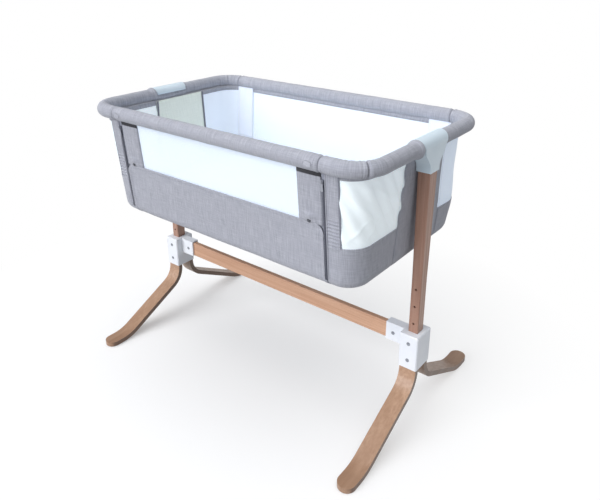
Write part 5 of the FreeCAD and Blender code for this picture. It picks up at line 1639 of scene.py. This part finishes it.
# %% Stitches of the panels and the rail
bm = bmesh.new()
hem = on_front(panel_edge(HEM, 0.492), 0.0003)
sew(bm, hem, outwards(hem))
SEAM_AWAY = 0.0045            # how far a line of stitches is from its seam
SEWN_HIGH = 0.748
ZIP_SEAM_X = 0.3565           # the line of stitches beside a zip
RAIL_SEAM_AWAY = 0.0042
for sign in (1, -1):
    flip = (lambda mark: mark) if sign > 0 else other
    still = lambda around, height: 0.0
    for shift in (SEAM_AWAY, -SEAM_AWAY):
        for side in (-1, 1):
            seam_on_wall(bm, [(flip(shifted(end_mark(side), shift)), z)
                              for z in steps(0.500, SEWN_HIGH, 0.004)], still, 0.0002)
    across = [(flip(shifted(front_mark(CORNER_WINDOW_X), d)), WINDOW_LOW - 0.0055)
              for d in steps(0, 0.105, 0.004)]
    seam_on_wall(bm, across, ribbed, 0.0003)
    up = [(flip(shifted(front_mark(CORNER_WINDOW_X), -SEAM_AWAY)), z)
          for z in steps(0.578, SEWN_HIGH, 0.004)]
    seam_on_wall(bm, up, ribbed, 0.0003)
    down = [(flip(front_mark(ZIP_SEAM_X)), z) for z in steps(0.492, SEWN_HIGH, 0.004)]
    seam_on_wall(bm, down, ribbed, 0.0003)
    for place in (CORNER_SEAM - RAIL_SEAM_AWAY, CORNER_SEAM + RAIL_SEAM_AWAY):
        middle, away = loop(sign * place)
        ring = []
        for k in range(61):
            angle = 2 * math.pi * k / 60
            way = away * math.cos(angle) + Vector((0, 0, math.sin(angle)))
            ring.append((middle + way * (PAD - 0.0003), way))
        sew(bm, [p for p, w in ring], [w for p, w in ring], 0.0032)
stitches = placed(new_piece(bm, "stitches", thread_finish), "cradle")
print("stitches:", len(stitches.data.polygons) // 6)

# %% Stitches of the strips
for side, sign in (("right", 1), ("left", -1)):
    bm = bmesh.new()
    for inset in (STRIP_SEAM, STRIP_OUTER - STRIP_INNER - STRIP_SEAM):
        line = [wall(sign * (STRIP_INNER + inset), rise_of(z), strip_swell(inset, z) + 0.0003)
                for z in steps(STRIP_LOW + 0.003, STRIP_HIGH - 0.004, 0.0025)]
        sew(bm, line, outwards(line))
    sewing = new_piece(bm, "stitches_strip_" + side, thread_finish)
    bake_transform(sewing)
    print(sewing.name, len(sewing.data.polygons) // 6)

# %% [markdown]
# ## Rivets
# A rivet holds the foot of each strip.  It is a flat washer with a smaller head on
# it, turned to lie on the slanting cloth, and two low cones make that.

# %% Rivets that hold the strips
RIVET_HEIGHT = 0.6305
bm = bmesh.new()
for sign in (1, -1):
    spot = wall(sign * ARM_X, rise_of(RIVET_HEIGHT),
                strip_swell(ARM_X - STRIP_INNER, RIVET_HEIGHT))
    lie = Vector((0, -1, 0.075)).normalized().to_track_quat("Z", "Y").to_matrix().to_4x4()
    for radius, thick, lift in ((0.0056, 0.0012, 0.0003), (0.0038, 0.0014, 0.0014)):
        bmesh.ops.create_cone(
            bm, cap_ends=True, segments=28, radius1=radius, radius2=radius * 0.82,
            depth=thick, matrix=Matrix.Translation(spot) @ lie
            @ Matrix.Translation((0, 0, lift)))
rivets = new_piece(bm, "strip_rivets", rivet_metal)
placed(rivets, "cradle", "upright_rivets", slot="bright_steel")
print("rivets:", len(rivets.data.polygons), "faces")

# %% [markdown]
# ## The mattress
# A thin foam pad in a white knitted cover.  A flat box of cloth with a little air
# pressure inside, simulated without gravity, swells like a filled cover: the faces crown
# and the long sides draw in.  The result is kept as a plain mesh.

# %% A flat cover
MATTRESS_LOW, MATTRESS_HIGH = 0.5016, 0.5310
MATTRESS_HALF = (0.404, 0.2245)
MATTRESS_CORNER = 0.058
bm = bmesh.new()
bmesh.ops.create_cube(bm, size=1.0)
for vert in bm.verts:
    vert.co.x *= 2 * MATTRESS_HALF[0]
    vert.co.y *= 2 * MATTRESS_HALF[1]
    vert.co.z = (MATTRESS_LOW + 0.004 if vert.co.z < 0 else MATTRESS_HIGH - 0.005)
standing = [e for e in bm.edges if abs(e.verts[0].co.z - e.verts[1].co.z) > 0.01]
bmesh.ops.bevel(bm, geom=standing, offset=MATTRESS_CORNER, segments=8, affect="EDGES",
                profile=0.5, material=-1)
mattress = new_piece(bm, "mattress_pad", knit)
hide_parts("mattress")
print("cover", 2 * MATTRESS_HALF[0], "by", 2 * MATTRESS_HALF[1], "m")


# %% An even mesh
def keep_result(piece):
    """Turn the modifiers' result into the piece's own mesh."""
    bpy.context.view_layer.update()
    made = bpy.data.meshes.new_from_object(
        piece.evaluated_get(bpy.context.evaluated_depsgraph_get()))
    piece.modifiers.clear()
    piece.data = made


remesh = mattress.modifiers.new("even_mesh", "REMESH")
remesh.mode = "VOXEL"
remesh.voxel_size = 0.0095
remesh.use_smooth_shade = True
keep_result(mattress)
print("points that can move:", len(mattress.data.vertices))

# %% Swelling
SIM_FRAMES = 18
seam = mattress.vertex_groups.new(name="side_seam")
seam.add([v.index for v in mattress.data.vertices if abs(v.normal.z) < 0.6], 0.85,
         "REPLACE")
cloth = mattress.modifiers.new("swell", "CLOTH")
cloth.settings.quality = 5
cloth.settings.mass = 0.3
cloth.settings.tension_stiffness = 15
cloth.settings.compression_stiffness = 15
cloth.settings.bending_stiffness = 0.5
cloth.settings.shrink_min = -0.008
cloth.settings.vertex_group_mass = "side_seam"
cloth.settings.pin_stiffness = 5
cloth.settings.use_pressure = True
cloth.settings.uniform_pressure_force = 0.25
cloth.settings.effector_weights.gravity = 0.0
cloth.point_cache.frame_start, cloth.point_cache.frame_end = 1, SIM_FRAMES
for frame_number in range(1, SIM_FRAMES + 1):
    scene.frame_set(frame_number)
keep_result(mattress)
scene.frame_set(1)
print("frames simulated:", SIM_FRAMES)

# %% The mattress at its size
MATTRESS_MOST = (0.4075, 0.2270)
lowest = min(v.co.z for v in mattress.data.vertices)
highest = max(v.co.z for v in mattress.data.vertices)
scale = (MATTRESS_HIGH - MATTRESS_LOW) / (highest - lowest)
far_x = max(abs(v.co.x) for v in mattress.data.vertices)
far_y = max(abs(v.co.y) for v in mattress.data.vertices)
for vert in mattress.data.vertices:
    vert.co.z = MATTRESS_LOW + (vert.co.z - lowest) * scale
    vert.co.x *= min(1, MATTRESS_MOST[0] / far_x)
    vert.co.y *= min(1, MATTRESS_MOST[1] / far_y)
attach(mattress, "mattress")
print("mattress swells from", round(lowest, 4), "to", round(highest, 4))

# %% [markdown]
# ## The size of the finished crib
# The dressed crib has to stay as large as the model says.  Its box is printed, as the
# model's box was at the start.

# %% Size of the finished crib
low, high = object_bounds()
({"cad": [list(cad_low), list(cad_high)],
           "visual": [list(low), list(high)]})
print("visual box", [round(v, 4) for v in low], [round(v, 4) for v in high])

# %% [markdown]
# ## The end
